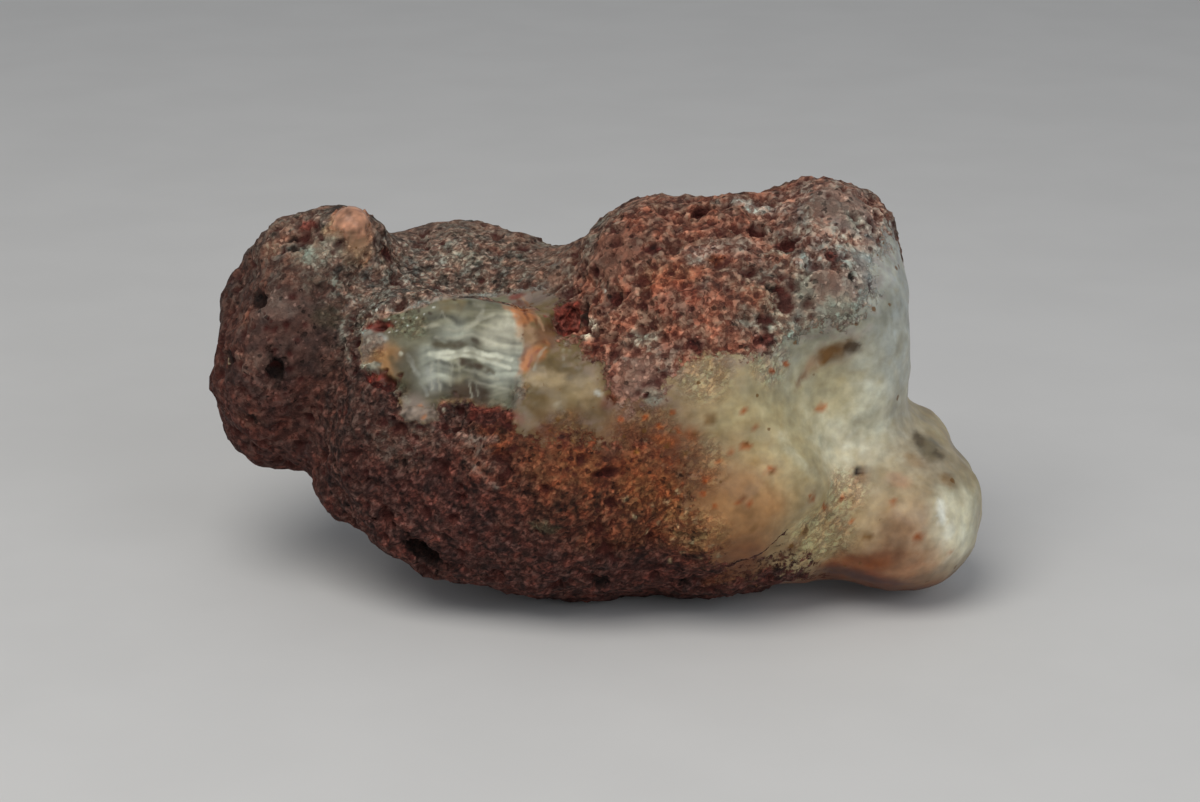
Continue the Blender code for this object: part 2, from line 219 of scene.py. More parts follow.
class StoneSizes(bpy.types.PropertyGroup):
    """How finely the stone's skin is worked."""

    grid: length("Grid", "Spacing of the skin's points, before the front is made finer", 0.50)
    grain: length("Grain", "Width of the rind's coarse grains", 0.72)
    speck: length("Speck", "Spacing of the small dark specks in the chalcedony", 1.1)
    crater: length("Crater", "Half width of the largest open bubble in the rind", 0.95)
    craters: IntProperty(
        name="Craters", description="How many open bubbles the rind has", default=1700, min=0
    )
    bump: length("Bump", "Height of the relief that is finer than the mesh", 0.16)
    glow: length("Glow", "How far light wanders in the chalcedony", 0.9)


class StageSettings(bpy.types.PropertyGroup):
    """The camera, the floor and the lights."""

    lens: FloatProperty(
        name="Lens", description="Focal length, for a frame 36 mm wide", default=88.707,
        min=1.0, subtype="DISTANCE_CAMERA", unit="CAMERA",
    )
    floor: colour("Floor", 0.62, 0.615, 0.60)
    sky: colour("Studio air", 0.80, 0.83, 0.88)
    air: FloatProperty(name="Air light", description="Strength of the even light", default=0.38)
    key: FloatProperty(
        name="Key light", description="Power of the large soft light above", default=1.22,
        subtype="POWER", unit="POWER",
    )
    fill: FloatProperty(
        name="Fill light", description="Power of the soft light in front", default=0.50,
        subtype="POWER", unit="POWER",
    )


# Where the smooth chalcedony shows in the front, from the window's right side to the foot
BARE_OUTLINE = (
    (-8.4, 9.2), (-6.6, 9.6), (-4.6, 9.5), (-3.7, 8.6), (-4.2, 6.6), (-3.2, 5.4), (-1.6, 5.2),
    (-1.1, 3.8), (0.0, 3.0), (0.4, 1.5), (1.2, 0.2), (3.5, -0.3), (5.6, 0.4), (6.3, 2.0),
    (7.4, 3.6), (9.7, 4.2), (12.3, 4.0), (14.5, 4.0), (15.5, 5.2), (17.6, 6.2), (20.9, 7.0),
    (22.8, 7.6), (23.6, 9.6), (24.2, 12.2), (25.6, 15.0), (31.7, 15.0), (36.1, -1.7),
    (36.1, -21.0), (20.0, -21.0), (19.3, -15.6), (17.6, -14.5), (16.7, -13.4), (15.4, -14.1),
    (12.6, -15.1), (10.8, -15.6), (9.6, -13.6), (8.8, -11.5), (8.0, -9.0), (7.0, -7.0),
    (6.0, -5.2), (4.0, -4.0), (1.0, -3.6), (-2.2, -3.3), (-5.7, -3.3), (-7.2, -2.8),
    (-7.8, -0.8), (-7.2, 2.9), (-7.4, 6.0),
)

# The broken window's outline
WINDOW_OUTLINE = (
    (-21.0, 5.7), (-20.1, 6.5), (-19.0, 7.3), (-18.0, 7.8), (-16.7, 8.2), (-15.4, 8.6),
    (-14.1, 8.9), (-12.8, 9.1), (-11.0, 9.2), (-9.2, 9.2), (-7.8, 9.1), (-7.0, 7.5),
    (-6.6, 4.9), (-6.6, 2.9), (-7.0, 0.1), (-7.5, -0.9), (-8.3, -0.6), (-10.6, -0.6),
    (-11.4, -0.1), (-14.2, 0.0), (-14.5, -1.6), (-15.5, -1.9), (-17.1, -1.7), (-17.6, 0.6),
    (-18.6, 1.4), (-20.2, 2.8), (-21.1, 3.8),
)

# The part of the front with the smallest detail: the window, its crusts and the cave beside it
FINE_OUTLINE = (
    (-22.0, 8.6), (-14.0, 9.8), (-3.0, 10.2), (0.6, 9.0), (0.8, 3.6), (-3.0, 2.6), (-6.2, -1.0),
    (-7.0, -3.0), (-17.6, -3.0), (-18.4, 0.0), (-22.0, 3.0),
)

# Where chalcedony shows on the other sides: a side, a mark and a reach
BARE_PLACES = (
    (RIGHT, (-4.0, -9.0), 12.0),
    (RIGHT, (-7.0, 4.0), 8.0),
    (BACK, (9.0, 0.0), 7.5),
    (BACK, (-24.0, -7.0), 7.0),
    (BACK, (-3.0, -9.5), 4.0),
    (TOP, (24.0, -6.0), 3.2),
    (LEFT, (6.5, -4.0), 3.0),
    (UNDER, (22.0, -2.0), 10.0),
)

# The broad colours of the rind, of the chalcedony and of the window, where each is strongest
RIND_WASHES = table(Wash, {
    "shoulder": ((7.5, 12.0), 7.0, "brick"),
    "shoulder_low": ((9.0, 6.0), 4.0, "brick"),
    "shoulder_right": ((17.5, 11.0), 5.0, "dusk"),
    "shoulder_edge": ((16.5, 5.6), 2.6, "slate"),
    "shoulder_pink": ((21.5, 17.0), 4.0, "rose"),
    "shoulder_far": ((23.8, 12.6), 3.4, "frost"),
    "shoulder_left": ((1.5, 13.5), 3.0, "brick"),
    "cave_side": ((1.0, 7.0), 4.0, "brick"),
    "island": ((3.5, 1.6), 3.0, "rose"),
    "saddle": ((-6.0, 12.0), 5.0, "dusk"),
    "crest": ((-14.5, 12.0), 6.0, "ash"),
    "crest_edge": ((-20.0, 8.0), 3.0, "ash"),
    "lobe_top": ((-26.0, 15.0), 4.0, "dusk"),
    "lobe": ((-28.0, 7.0), 7.0, "bark"),
    "lobe_low": ((-29.0, -2.0), 6.0, "maroon"),
    "neck": ((-23.5, 5.5), 3.5, "bark"),
    "neck_low": ((-22.0, -3.0), 5.0, "bark"),
    "belly_left": ((-15.0, -6.0), 7.0, "maroon"),
    "belly_low": ((-7.0, -14.0), 7.0, "maroon"),
    "belly_top": ((-9.5, -3.6), 2.4, "rust"),
    "belly_rust": ((-2.0, -6.5), 5.0, "rust"),
    "belly_rust_right": ((6.0, -9.0), 4.0, "rust"),
    "belly_right": ((4.0, -15.0), 4.5, "maroon"),
    "foot_under": ((15.0, -14.6), 3.0, "maroon"),
    "back_top": ((6.0, 11.0), 11.0, "dusk", BACK),
    "back_left": ((23.0, 5.0), 10.0, "bark", BACK),
    "back_right": ((-18.0, 9.0), 9.0, "brick", BACK),
    "back_low": ((4.0, -10.0), 10.0, "maroon", BACK),
    "back_rust": ((-12.0, -6.0), 7.0, "rust", BACK),
    "under": ((-6.0, 0.0), 12.0, "maroon", UNDER),
    "right_end": ((8.0, 4.0), 9.0, "dusk", RIGHT),
})

CHALCEDONY_WASHES = table(Wash, {
    "brow": ((17.5, 4.6), 3.6, "slate"),
    "brow_right": ((22.5, 6.2), 3.0, "slate"),
    "shoulder_margin": ((26.4, 8.0), 4.0, "frost"),
    "margin_low": ((26.4, 1.5), 3.0, "frost"),
    "hollow": ((19.5, 1.5), 3.6, "olive"),
    "hollow_right": ((23.0, -1.5), 4.0, "pale"),
    "upper_left": ((9.0, 1.0), 3.5, "straw"),
    "under_rind": ((3.5, -2.6), 3.0, "rust"),
    "left_rust": ((7.5, -6.0), 3.4, "rust"),
    "middle": ((12.8, -1.5), 3.6, "olive"),
    "amber": ((12.5, -9.5), 4.0, "amber"),
    "amber_low": ((12.0, -13.6), 2.6, "rust"),
    "ridge": ((17.5, -5.0), 2.5, "olive"),
    "botryoidal": ((-2.5, 0.3), 4.0, "honey"),
    "under_botryoidal": ((-3.0, -3.0), 2.2, "rust"),
    "beside_window": ((-5.0, 7.4), 2.0, "honey"),
    "over_window": ((-5.4, 9.6), 1.4, "lilac"),
    "foot_rough": ((19.0, -11.5), 3.2, "olive"),
    "foot_top": ((24.5, -8.0), 3.5, "straw"),
    "foot_tan": ((28.0, -13.0), 3.4, "tan"),
    "foot_low": ((23.0, -15.6), 3.4, "rust"),
    "foot_right": ((32.0, -11.0), 3.0, "pale"),
    "knuckle": ((29.0, -4.0), 4.0, "ash"),
    "knob": ((-21.6, 16.0), 3.0, "salmon"),
    "right_wall": ((-4.0, 4.0), 7.0, "frost", RIGHT),
    "right_foot": ((-2.0, -9.0), 7.0, "olive", RIGHT),
    "back_patch": ((8.0, 1.5), 3.4, "straw", BACK),
    "back_patch_grey": ((11.5, -2.0), 3.0, "glass", BACK),
    "back_patch_rust": ((6.0, -4.0), 3.6, "rust", BACK),
    "back_edge": ((-4.0, -9.5), 3.6, "rust", BACK),
    "back_foot": ((-24.0, -8.0), 8.0, "tan", BACK),
    "under_foot": ((24.0, -3.0), 8.0, "rust", UNDER),
    "left_spot": ((6.5, -4.0), 4.0, "straw", LEFT),
})

WINDOW_WASHES = table(Wash, {
    "left_end": ((-20.3, 5.2), 1.3, "lilac"),
    "left_amber": ((-19.0, 3.6), 1.2, "amber"),
    "left_low": ((-17.2, 2.4), 1.7, "smoke"),
    "left_ledge": ((-16.4, -0.8), 1.3, "lilac"),
    "granular": ((-17.4, 6.8), 1.6, "glass"),
    "upper": ((-13.8, 7.8), 2.0, "glass"),
    "upper_right": ((-10.0, 8.2), 1.8, "glass"),
    "over_bands": ((-13.0, 6.0), 1.3, "fog"),
    "cream": ((-8.3, 6.3), 1.7, "cream"),
    "fog": ((-14.7, 2.6), 1.6, "fog"),
    "middle": ((-11.6, 3.0), 1.6, "glass"),
    "right": ((-8.7, 2.4), 1.9, "fog"),
    "low_left": ((-14.4, 0.6), 1.3, "smoke"),
    "low": ((-11.4, 0.7), 1.7, "umber"),
    "low_right": ((-8.8, 0.3), 1.2, "glass"),
})

# Smaller patches of colour, then lines of colour, each laid over the ones before it
DABS = table(Dab, {
    "knob": ((-21.6, 16.0), (2.3, 1.7), "salmon", 0.95),
    "knob_red": ((-20.9, 16.0), (0.9, 0.5), "brick", 0.4),
    "granular_left": ((-20.8, 7.0), (1.3, 1.2), "slate", 0.45),
    "knob_skirt": ((-21.3, 13.8), (1.4, 1.8), "tan", 0.8, 12.0),
    "knob_left": ((-23.4, 15.2), (1.2, 1.0), "tan", 0.8, 20.0),
    "lobe_red": ((-25.8, 15.4), (0.9, 0.5), "red", 0.8, -20.0),
    "lobe_pink": ((-28.6, 13.6), (1.2, 0.9), "salmon", 0.35, 30.0),
    "lobe_grey": ((-25.6, 13.0), (1.8, 1.3), "slate", 0.6),
    "lobe_grey_right": ((-23.4, 13.8), (1.1, 0.9), "slate", 0.5),
    "lobe_grey_low": ((-24.2, 10.2), (1.6, 1.2), "slate", 0.3),
    "lobe_blush": ((-28.8, 8.4), (2.2, 1.3), "rose", 0.45),
    "lobe_green": ((-23.9, 7.4), (1.6, 1.0), "smoke", 0.4),
    "lobe_red_mid": ((-31.0, 7.4), (1.2, 0.8), "brick", 0.4),
    "lobe_tan": ((-30.8, 3.4), (1.5, 1.1), "rose", 0.4),
    "lobe_low_red": ((-31.0, -1.5), (1.6, 1.0), "brick", 0.25),
    "ridge_orange": ((-19.0, 13.2), (1.2, 0.7), "rust", 0.5),
    "crest_green": ((-12.0, 12.6), (1.8, 0.9), "slate", 0.4, -10.0),
    "crest_red": ((-9.6, 13.4), (1.3, 0.5), "brick", 0.4, -15.0),
    "stain_red": ((-7.4, 9.2), (0.7, 0.4), "red", 0.8),
    "stain_fade": ((-6.2, 6.0), (1.1, 1.5), "tan", 0.6, 25.0),
    "stain_orange": ((-6.8, 7.8), (1.2, 1.4), "orange", 0.85, 20.0),
    "stain_core": ((-7.2, 8.5), (0.7, 0.6), "red", 0.45, 20.0),
    "stain_low": ((-5.9, 3.9), (1.5, 0.8), "orange", 0.6, 48.0),
    "stain_brown": ((-4.7, 5.9), (0.9, 1.5), "rust", 0.6),
    "cloud": ((-4.6, 1.9), (1.8, 1.0), "straw", 0.8),
    "cloud_right": ((-1.2, 1.2), (1.5, 1.4), "straw", 0.5),
    "beside_cave": ((-0.4, 4.9), (0.9, 0.9), "brick", 0.8),
    "beside_cave_core": ((-0.4, 4.6), (0.4, 0.7), "oxblood", 0.8),
    "botryoidal_rust": ((1.0, 0.0), (0.9, 0.7), "rust", 0.8, 30.0),
    "botryoidal_rust_low": ((-4.6, -2.5), (0.8, 0.7), "rust", 0.8),
    "botryoidal_rust_right": ((3.0, -2.9), (1.2, 0.6), "rust", 0.7),
    "shoulder_red": ((6.8, 9.0), (2.2, 1.6), "red", 0.25),
    "shoulder_red_low": ((7.5, 5.4), (1.8, 1.0), "red", 0.25),
    "shoulder_red_right": ((14.2, 5.2), (1.0, 0.8), "red", 0.5),
    "shoulder_orange": ((6.0, 11.0), (2.6, 1.6), "orange", 0.16),
    "shoulder_orange_right": ((14.0, 9.0), (1.6, 1.0), "orange", 0.12),
    "shoulder_rose": ((11.5, 13.5), (2.8, 1.6), "rose", 0.5),
    "shoulder_left_dark": ((2.6, 14.0), (3.2, 2.4), "bark", 0.32),
    "shoulder_ash": ((9.0, 12.8), (1.6, 1.0), "frost", 0.3),
    "shoulder_slate": ((17.9, 10.0), (1.1, 1.8), "slate", 0.75, 12.0),
    "shoulder_slate_up": ((18.6, 12.2), (1.4, 0.9), "frost", 0.5),
    "shoulder_slate_right": ((21.1, 8.2), (1.8, 1.1), "slate", 0.8),
    "shoulder_pink_right": ((20.2, 11.0), (1.4, 1.2), "brick", 0.4),
    "shoulder_green": ((15.7, 12.9), (1.3, 0.6), "slate", 0.6),
    "shoulder_far_pink": ((22.9, 13.8), (1.5, 0.8), "salmon", 0.4),
    "shoulder_slate_left": ((3.7, 5.4), (1.6, 0.8), "slate", 0.55, -10.0),
    "island_slate": ((4.7, 0.5), (1.1, 0.7), "slate", 0.8),
    "island_pink": ((3.2, 1.8), (1.7, 1.1), "brick", 0.35),
    "top_strip": ((13.6, 17.0), (2.6, 0.7), "frost", 0.8, -12.0),
    "peak_dusk": ((21.1, 16.8), (2.6, 1.4), "dusk", 0.5),
    "peak_pale": ((20.5, 18.8), (2.0, 0.6), "lilac", 0.5),
    "peak_slate": ((22.6, 15.9), (1.2, 1.0), "slate", 0.5),
    "far_slate": ((25.2, 8.0), (0.9, 1.6), "slate", 0.6),
    "brow_halo": ((20.6, 4.3), (2.6, 1.2), "rust", 0.35, 20.0),
    "brow_rust": ((18.4, 3.0), (1.5, 0.6), "ember", 0.35, 38.0),
    "brow_brown": ((20.3, 4.4), (1.6, 0.7), "sienna", 0.9, 22.0),
    "brow_brown_right": ((22.2, 4.7), (0.8, 0.6), "umber", 0.9),
    "brow_streak": ((17.7, 1.9), (1.2, 0.4), "rust", 0.5, 40.0),
    "hollow_yellow": ((20.4, 0.4), (1.8, 1.6), "olive", 0.5),
    "hollow_dot": ((19.5, -0.6), (0.6, 0.4), "orange", 0.9),
    "foot_pit_halo": ((22.9, -6.4), (1.0, 0.8), "rust", 0.5),
    "foot_salmon": ((26.2, -7.0), (1.2, 0.8), "salmon", 0.4),
    # Painted highlight on the foot: a soft pale glow and two white patches, partly white crystals
    "foot_highlight_glow": ((31.0, -10.6), (2.4, 2.8), "pale", 0.45),
    "foot_crystal_highlight": ((30.1, -9.8), (0.5, 1.2), "white", 0.75),
    "foot_crystal_highlight_low": ((30.7, -11.6), (0.6, 0.8), "white", 0.4),
    "foot_brown": ((26.0, -12.0), (1.4, 2.6), "rust", 0.35, 14.0),
    "foot_brown_low": ((25.4, -14.2), (3.2, 1.1), "rust", 0.7, -4.0),
    "foot_maroon": ((23.4, -15.4), (3.6, 1.2), "maroon", 0.85, -5.0),
    "foot_red": ((24.2, -14.8), (4.2, 1.2), "ember", 0.45, -4.0),
    "foot_warm": ((27.6, -14.4), (2.6, 1.2), "tan", 0.5, 20.0),
    "foot_dot": ((23.6, -12.0), (0.5, 0.45), "sienna", 0.9),
    "foot_dot_right": ((28.0, -12.1), (0.45, 0.4), "ember", 0.7),
    "foot_dot_left": ((18.0, -11.4), (0.5, 0.4), "sienna", 0.8),
    "foot_dot_far": ((30.8, -13.4), (0.35, 0.3), "ember", 0.5),
    "knuckle_dark": ((29.0, -4.0), (1.5, 1.6), "smoke", 0.6),
    "knuckle_spot": ((28.2, -3.4), (0.6, 0.8), "umber", 0.6),
    "knuckle_spot_right": ((29.8, -4.6), (0.6, 0.7), "umber", 0.6),
    "knuckle_dark_left": ((27.6, -5.2), (1.1, 0.9), "sienna", 0.4),
    "knuckle_brown": ((30.7, -7.0), (0.9, 0.7), "sienna", 0.6),
    "knuckle_lilac": ((31.3, -4.2), (1.2, 1.4), "lilac", 0.5),
    # Darker patches low on the belly: partly its dark rind, partly painted shade
    "belly_dark_shaded": ((-19.0, -6.5), (4.5, 3.5), "oxblood", 0.25),
    "belly_dark_shaded_right": ((4.5, -15.0), (4.0, 1.5), "oxblood", 0.35),
    "belly_lilac": ((-16.0, -2.6), (2.0, 1.0), "dusk", 0.5, -40.0),
    "belly_seam": ((-10.5, -4.5), (3.2, 0.7), "rose", 0.35, -38.0),
    "belly_purple": ((-18.0, -4.0), (2.6, 1.6), "dusk", 0.3, -35.0),
    "belly_blue": ((-5.0, -11.1), (1.2, 0.7), "smoke", 0.7),
    "rust_low": ((2.0, -12.0), (4.0, 1.4), "rust", 0.5),
    "rust_ochre": ((-3.0, -6.0), (3.4, 1.6), "orange", 0.14),
    "rust_red": ((4.6, -7.6), (3.0, 2.6), "orange", 0.20),
    "amber_crumbs": ((8.2, -11.0), (2.2, 2.6), "amber", 0.4, 20.0),
    "amber_dot_right": ((15.1, -6.2), (0.4, 0.35), "ember", 0.9),
    "olive_dot": ((9.7, -1.6), (0.5, 0.4), "sienna", 0.7),
    "olive_dot_right": ((12.8, -3.9), (0.4, 0.35), "ember", 0.8),
    "olive_dot_low": ((8.1, -2.9), (0.7, 0.6), "ember", 0.6),
    "olive_dot_left": ((6.0, -3.4), (1.1, 0.6), "ember", 0.35),
})

STREAKS = table(Streak, {
    "edge": (0.14, "frost", 0.55, (
        (-22.4, 8.0), (-21.8, 8.5), (-20.9, 8.6), (-19.8, 8.4), (-18.7, 8.0), (-17.8, 7.9),
        (-16.7, 8.3), (-15.4, 8.7), (-14.1, 9.0), (-12.8, 9.2), (-11.0, 9.25), (-9.2, 9.3),
        (-7.7, 9.5), (-6.0, 9.9), (-4.4, 10.0))),
    "edge_shadow": (0.5, "bark", 0.7, (
        (-20.2, 7.9), (-21.4, 7.6), (-21.8, 6.4), (-21.5, 5.0), (-21.5, 3.4))),
    "edge_left": (0.20, "ash", 0.8, (
        (-19.8, 8.5), (-21.2, 8.5), (-22.2, 8.0), (-22.6, 6.6), (-22.3, 5.2), (-22.0, 3.6))),
    "upper_amber": (0.5, "honey", 0.7, ((-13.7, 8.4), (-12.4, 8.5))),
    "upper_white": (0.28, "cream", 0.7, ((-11.0, 8.7), (-10.3, 8.5))),
    "faint": (0.13, "cream", 0.5, (
        (-15.4, 6.5), (-14.4, 6.7), (-13.6, 6.4), (-12.7, 6.2), (-11.9, 6.4), (-11.1, 6.7),
        (-10.3, 7.3), (-9.3, 7.6))),
    "ridge": (0.16, "cream", 0.5, ((-11.8, 6.3), (-11.2, 6.8), (-10.7, 7.2), (-10.3, 7.9))),
    "upper_crack": (0.08, "cream", 0.5, ((-14.3, 7.3), (-13.9, 7.9), (-13.6, 7.2), (-13.1, 6.9))),
    "over": (0.13, "cream", 0.6, (
        (-14.4, 5.6), (-13.6, 5.5), (-12.7, 5.5), (-11.9, 5.7), (-11.3, 5.9), (-10.6, 5.5),
        (-9.9, 5.0), (-8.3, 4.7))),
    "lens": (0.36, "smoke", 1.0, (
        (-14.4, 5.0), (-13.6, 4.95), (-12.6, 4.95), (-11.8, 5.15), (-11.3, 5.3), (-10.7, 4.95))),
    "lens_core": (0.18, "umber", 0.6, ((-12.6, 5.0), (-11.3, 5.35), (-10.8, 5.1))),
    "between_bands": (0.22, "cream", 0.6, ((-14.1, 4.05), (-12.6, 4.1), (-11.2, 4.2), (-9.0, 3.6))),
    "main": (0.17, "milk", 0.8, (
        (-14.9, 4.1), (-14.2, 4.2), (-13.4, 4.3), (-12.6, 4.2), (-12.1, 4.4), (-11.6, 4.6),
        (-11.1, 4.5), (-10.3, 4.1), (-9.1, 4.0), (-7.9, 3.7))),
    "second": (0.14, "milk", 0.6, (
        (-14.4, 3.9), (-13.4, 3.7), (-12.6, 3.9), (-11.8, 4.0), (-10.9, 3.9), (-10.1, 3.5),
        (-9.1, 3.2), (-8.0, 2.9))),
    "lens_low": (0.24, "umber", 0.9, ((-12.2, 3.5), (-11.1, 3.2), (-10.2, 2.8))),
    "lens_low_end": (0.24, "umber", 0.8, ((-10.5, 3.05), (-10.1, 2.8))),
    "lens_low_right": (0.18, "smoke", 0.8, ((-9.8, 2.8), (-9.3, 2.4))),
    "third": (0.12, "cream", 0.4, ((-12.0, 2.8), (-11.0, 2.6), (-10.2, 2.2), (-9.0, 1.9))),
    "fourth": (0.10, "cream", 0.35, ((-11.4, 1.9), (-10.2, 1.5), (-9.0, 1.2), (-8.0, 1.1))),
    "fog_edge": (0.16, "frost", 0.4, (
        (-16.9, 4.0), (-16.4, 3.0), (-15.9, 2.0), (-15.5, 1.2), (-15.2, 0.6))),
    "fog_core": (0.45, "frost", 0.5, ((-15.0, 2.4), (-14.5, 1.2))),
    "low_brown": (0.62, "umber", 0.85, ((-12.4, 1.0), (-11.4, 0.9), (-10.4, 0.5))),
    "low_left_brown": (0.35, "smoke", 0.6, ((-14.2, 0.6), (-13.6, 0.4))),
    "ray": (0.09, "cream", 0.55, ((-14.2, 3.6), (-14.25, 2.2), (-14.1, 0.9))),
    "ray_second": (0.08, "cream", 0.45, ((-13.1, 3.6), (-13.05, 2.4), (-13.1, 1.4))),
    "ray_third": (0.14, "cream", 0.45, ((-12.45, 3.5), (-12.4, 2.6), (-12.35, 1.9))),
    "ray_fourth": (0.07, "cream", 0.5, ((-11.5, 1.8), (-11.35, 0.9), (-11.3, 0.3))),
    "ray_fifth": (0.07, "cream", 0.4, ((-10.9, 1.6), (-10.8, 0.5))),
    "ray_sixth": (0.08, "cream", 0.4, ((-14.8, 3.4), (-14.9, 2.0), (-14.7, 1.0))),
    "rim_orange": (0.16, "tan", 0.4, ((-13.9, -0.05), (-12.5, 0.1), (-11.3, 0.05))),
    "right_lilac": (0.35, "lilac", 0.8, ((-7.1, 2.0), (-7.0, 0.8), (-7.4, -0.3))),
    "left_bumps": (0.28, "cream", 0.8, ((-20.5, 3.3), (-19.9, 2.9), (-19.4, 2.6))),
    "left_crusts": (0.24, "cream", 0.7, ((-18.2, 1.3), (-17.6, 0.6), (-16.9, -0.1))),
    "left_ridge": (0.22, "frost", 0.7, ((-20.8, 6.0), (-19.8, 6.0), (-18.9, 5.5))),
    "left_amber": (0.45, "amber", 0.6, ((-19.6, 4.0), (-18.7, 3.3), (-18.0, 2.4))),
    "left_dark": (0.40, "smoke", 0.7, ((-18.2, 3.6), (-17.4, 2.4), (-16.9, 1.2))),
    "glint": (0.14, "milk", 1.0, ((-17.6, 4.2), (-17.5, 4.1))),
    "glint_low": (0.12, "milk", 1.0, ((-13.8, -0.8), (-13.75, -0.9))),
    "stain_line": (0.10, "tan", 0.8, ((-6.9, 9.2), (-6.0, 8.0), (-5.2, 6.9), (-5.0, 6.2))),
    "stain_wedge": (0.30, "orange", 0.6, ((-6.7, 3.0), (-6.2, 4.0), (-5.5, 4.7), (-4.8, 5.0))),
    "stain_seam": (0.13, "rust", 0.8, ((-7.3, 9.0), (-6.7, 8.2), (-6.4, 7.3), (-6.5, 6.6))),
    "stain_seam_right": (0.12, "rust", 0.7, ((-6.6, 8.7), (-5.9, 7.8), (-5.6, 6.8), (-5.7, 6.0))),
    "stain_seam_low": (0.14, "rust", 0.8, ((-6.8, 3.6), (-6.5, 4.5), (-5.9, 5.0), (-4.9, 5.2))),
    "stain_seam_end": (0.10, "red", 0.6, ((-6.3, 3.1), (-5.9, 4.0), (-5.3, 4.5))),
    "stain_light": (0.12, "cream", 0.5, ((-5.7, 2.8), (-5.5, 3.8), (-4.8, 4.7))),
    "stroke": (0.13, "cream", 0.4, ((-3.2, 4.5), (-3.25, 3.7))),
    "stroke_right": (0.11, "cream", 0.3, ((-2.7, 4.5), (-2.7, 3.9))),
    "stroke_low": (0.12, "cream", 0.7, ((-4.0, 0.0), (-3.2, -0.9))),
    # A painted glint on the small bowls
    "bowl_glint": (0.2, "frost", 0.9, ((-0.3, 0.8), (-0.2, 0.7))),
    # A white crystal beside the cave, with a painted glint on it
    "cave_white_glint": (0.36, "milk", 0.95, ((-0.6, 6.8), (-0.8, 6.2), (-1.0, 5.7))),
    "ledge_pink": (0.26, "rose", 0.8, ((-12.2, -3.1), (-11.2, -3.4), (-9.2, -3.4))),
    "ledge_white": (0.55, "lilac", 0.9, ((-17.0, -0.9), (-15.8, -1.1), (-14.9, -1.2))),
    "ledge_stain": (0.24, "orange", 0.7, ((-15.9, -0.6), (-15.5, -1.3))),
    # Painted shadow under the lump on the window's lower ledge
    "ledge_shadow": (0.16, "char", 0.75, ((-17.1, -2.0), (-15.8, -2.2), (-14.4, -2.2))),
    "crust_red": (0.45, "red", 0.7, ((-11.2, -0.9), (-9.6, -0.9), (-8.0, -1.2), (-7.2, -1.6))),
    "crust_dark": (0.30, "oxblood", 0.6, ((-10.4, -1.7), (-9.0, -1.8), (-8.0, -2.0))),
    # Painted shade in a narrow slot in the crust
    "slot": (0.22, "char", 0.95, ((-11.6, -0.4), (-11.7, -1.0), (-11.9, -1.6))),
    # Painted shade in the fold where the foot meets the body
    "crease": (0.40, "rust", 0.6, (
        (9.3, -16.0), (11.0, -15.5), (12.6, -15.1), (15.4, -14.1), (17.2, -12.7))),
    # Painted highlight along the crest of the ridge by the foot
    "ridge_highlight": (0.35, "pale", 0.5, ((15.8, -3.0), (16.6, -4.2), (17.4, -5.2), (18.7, -6.3))),
    "belly_line": (0.16, "rose", 0.5, ((-14.6, -2.6), (-12.4, -4.2), (-10.6, -6.2), (-9.0, -7.6))),
})
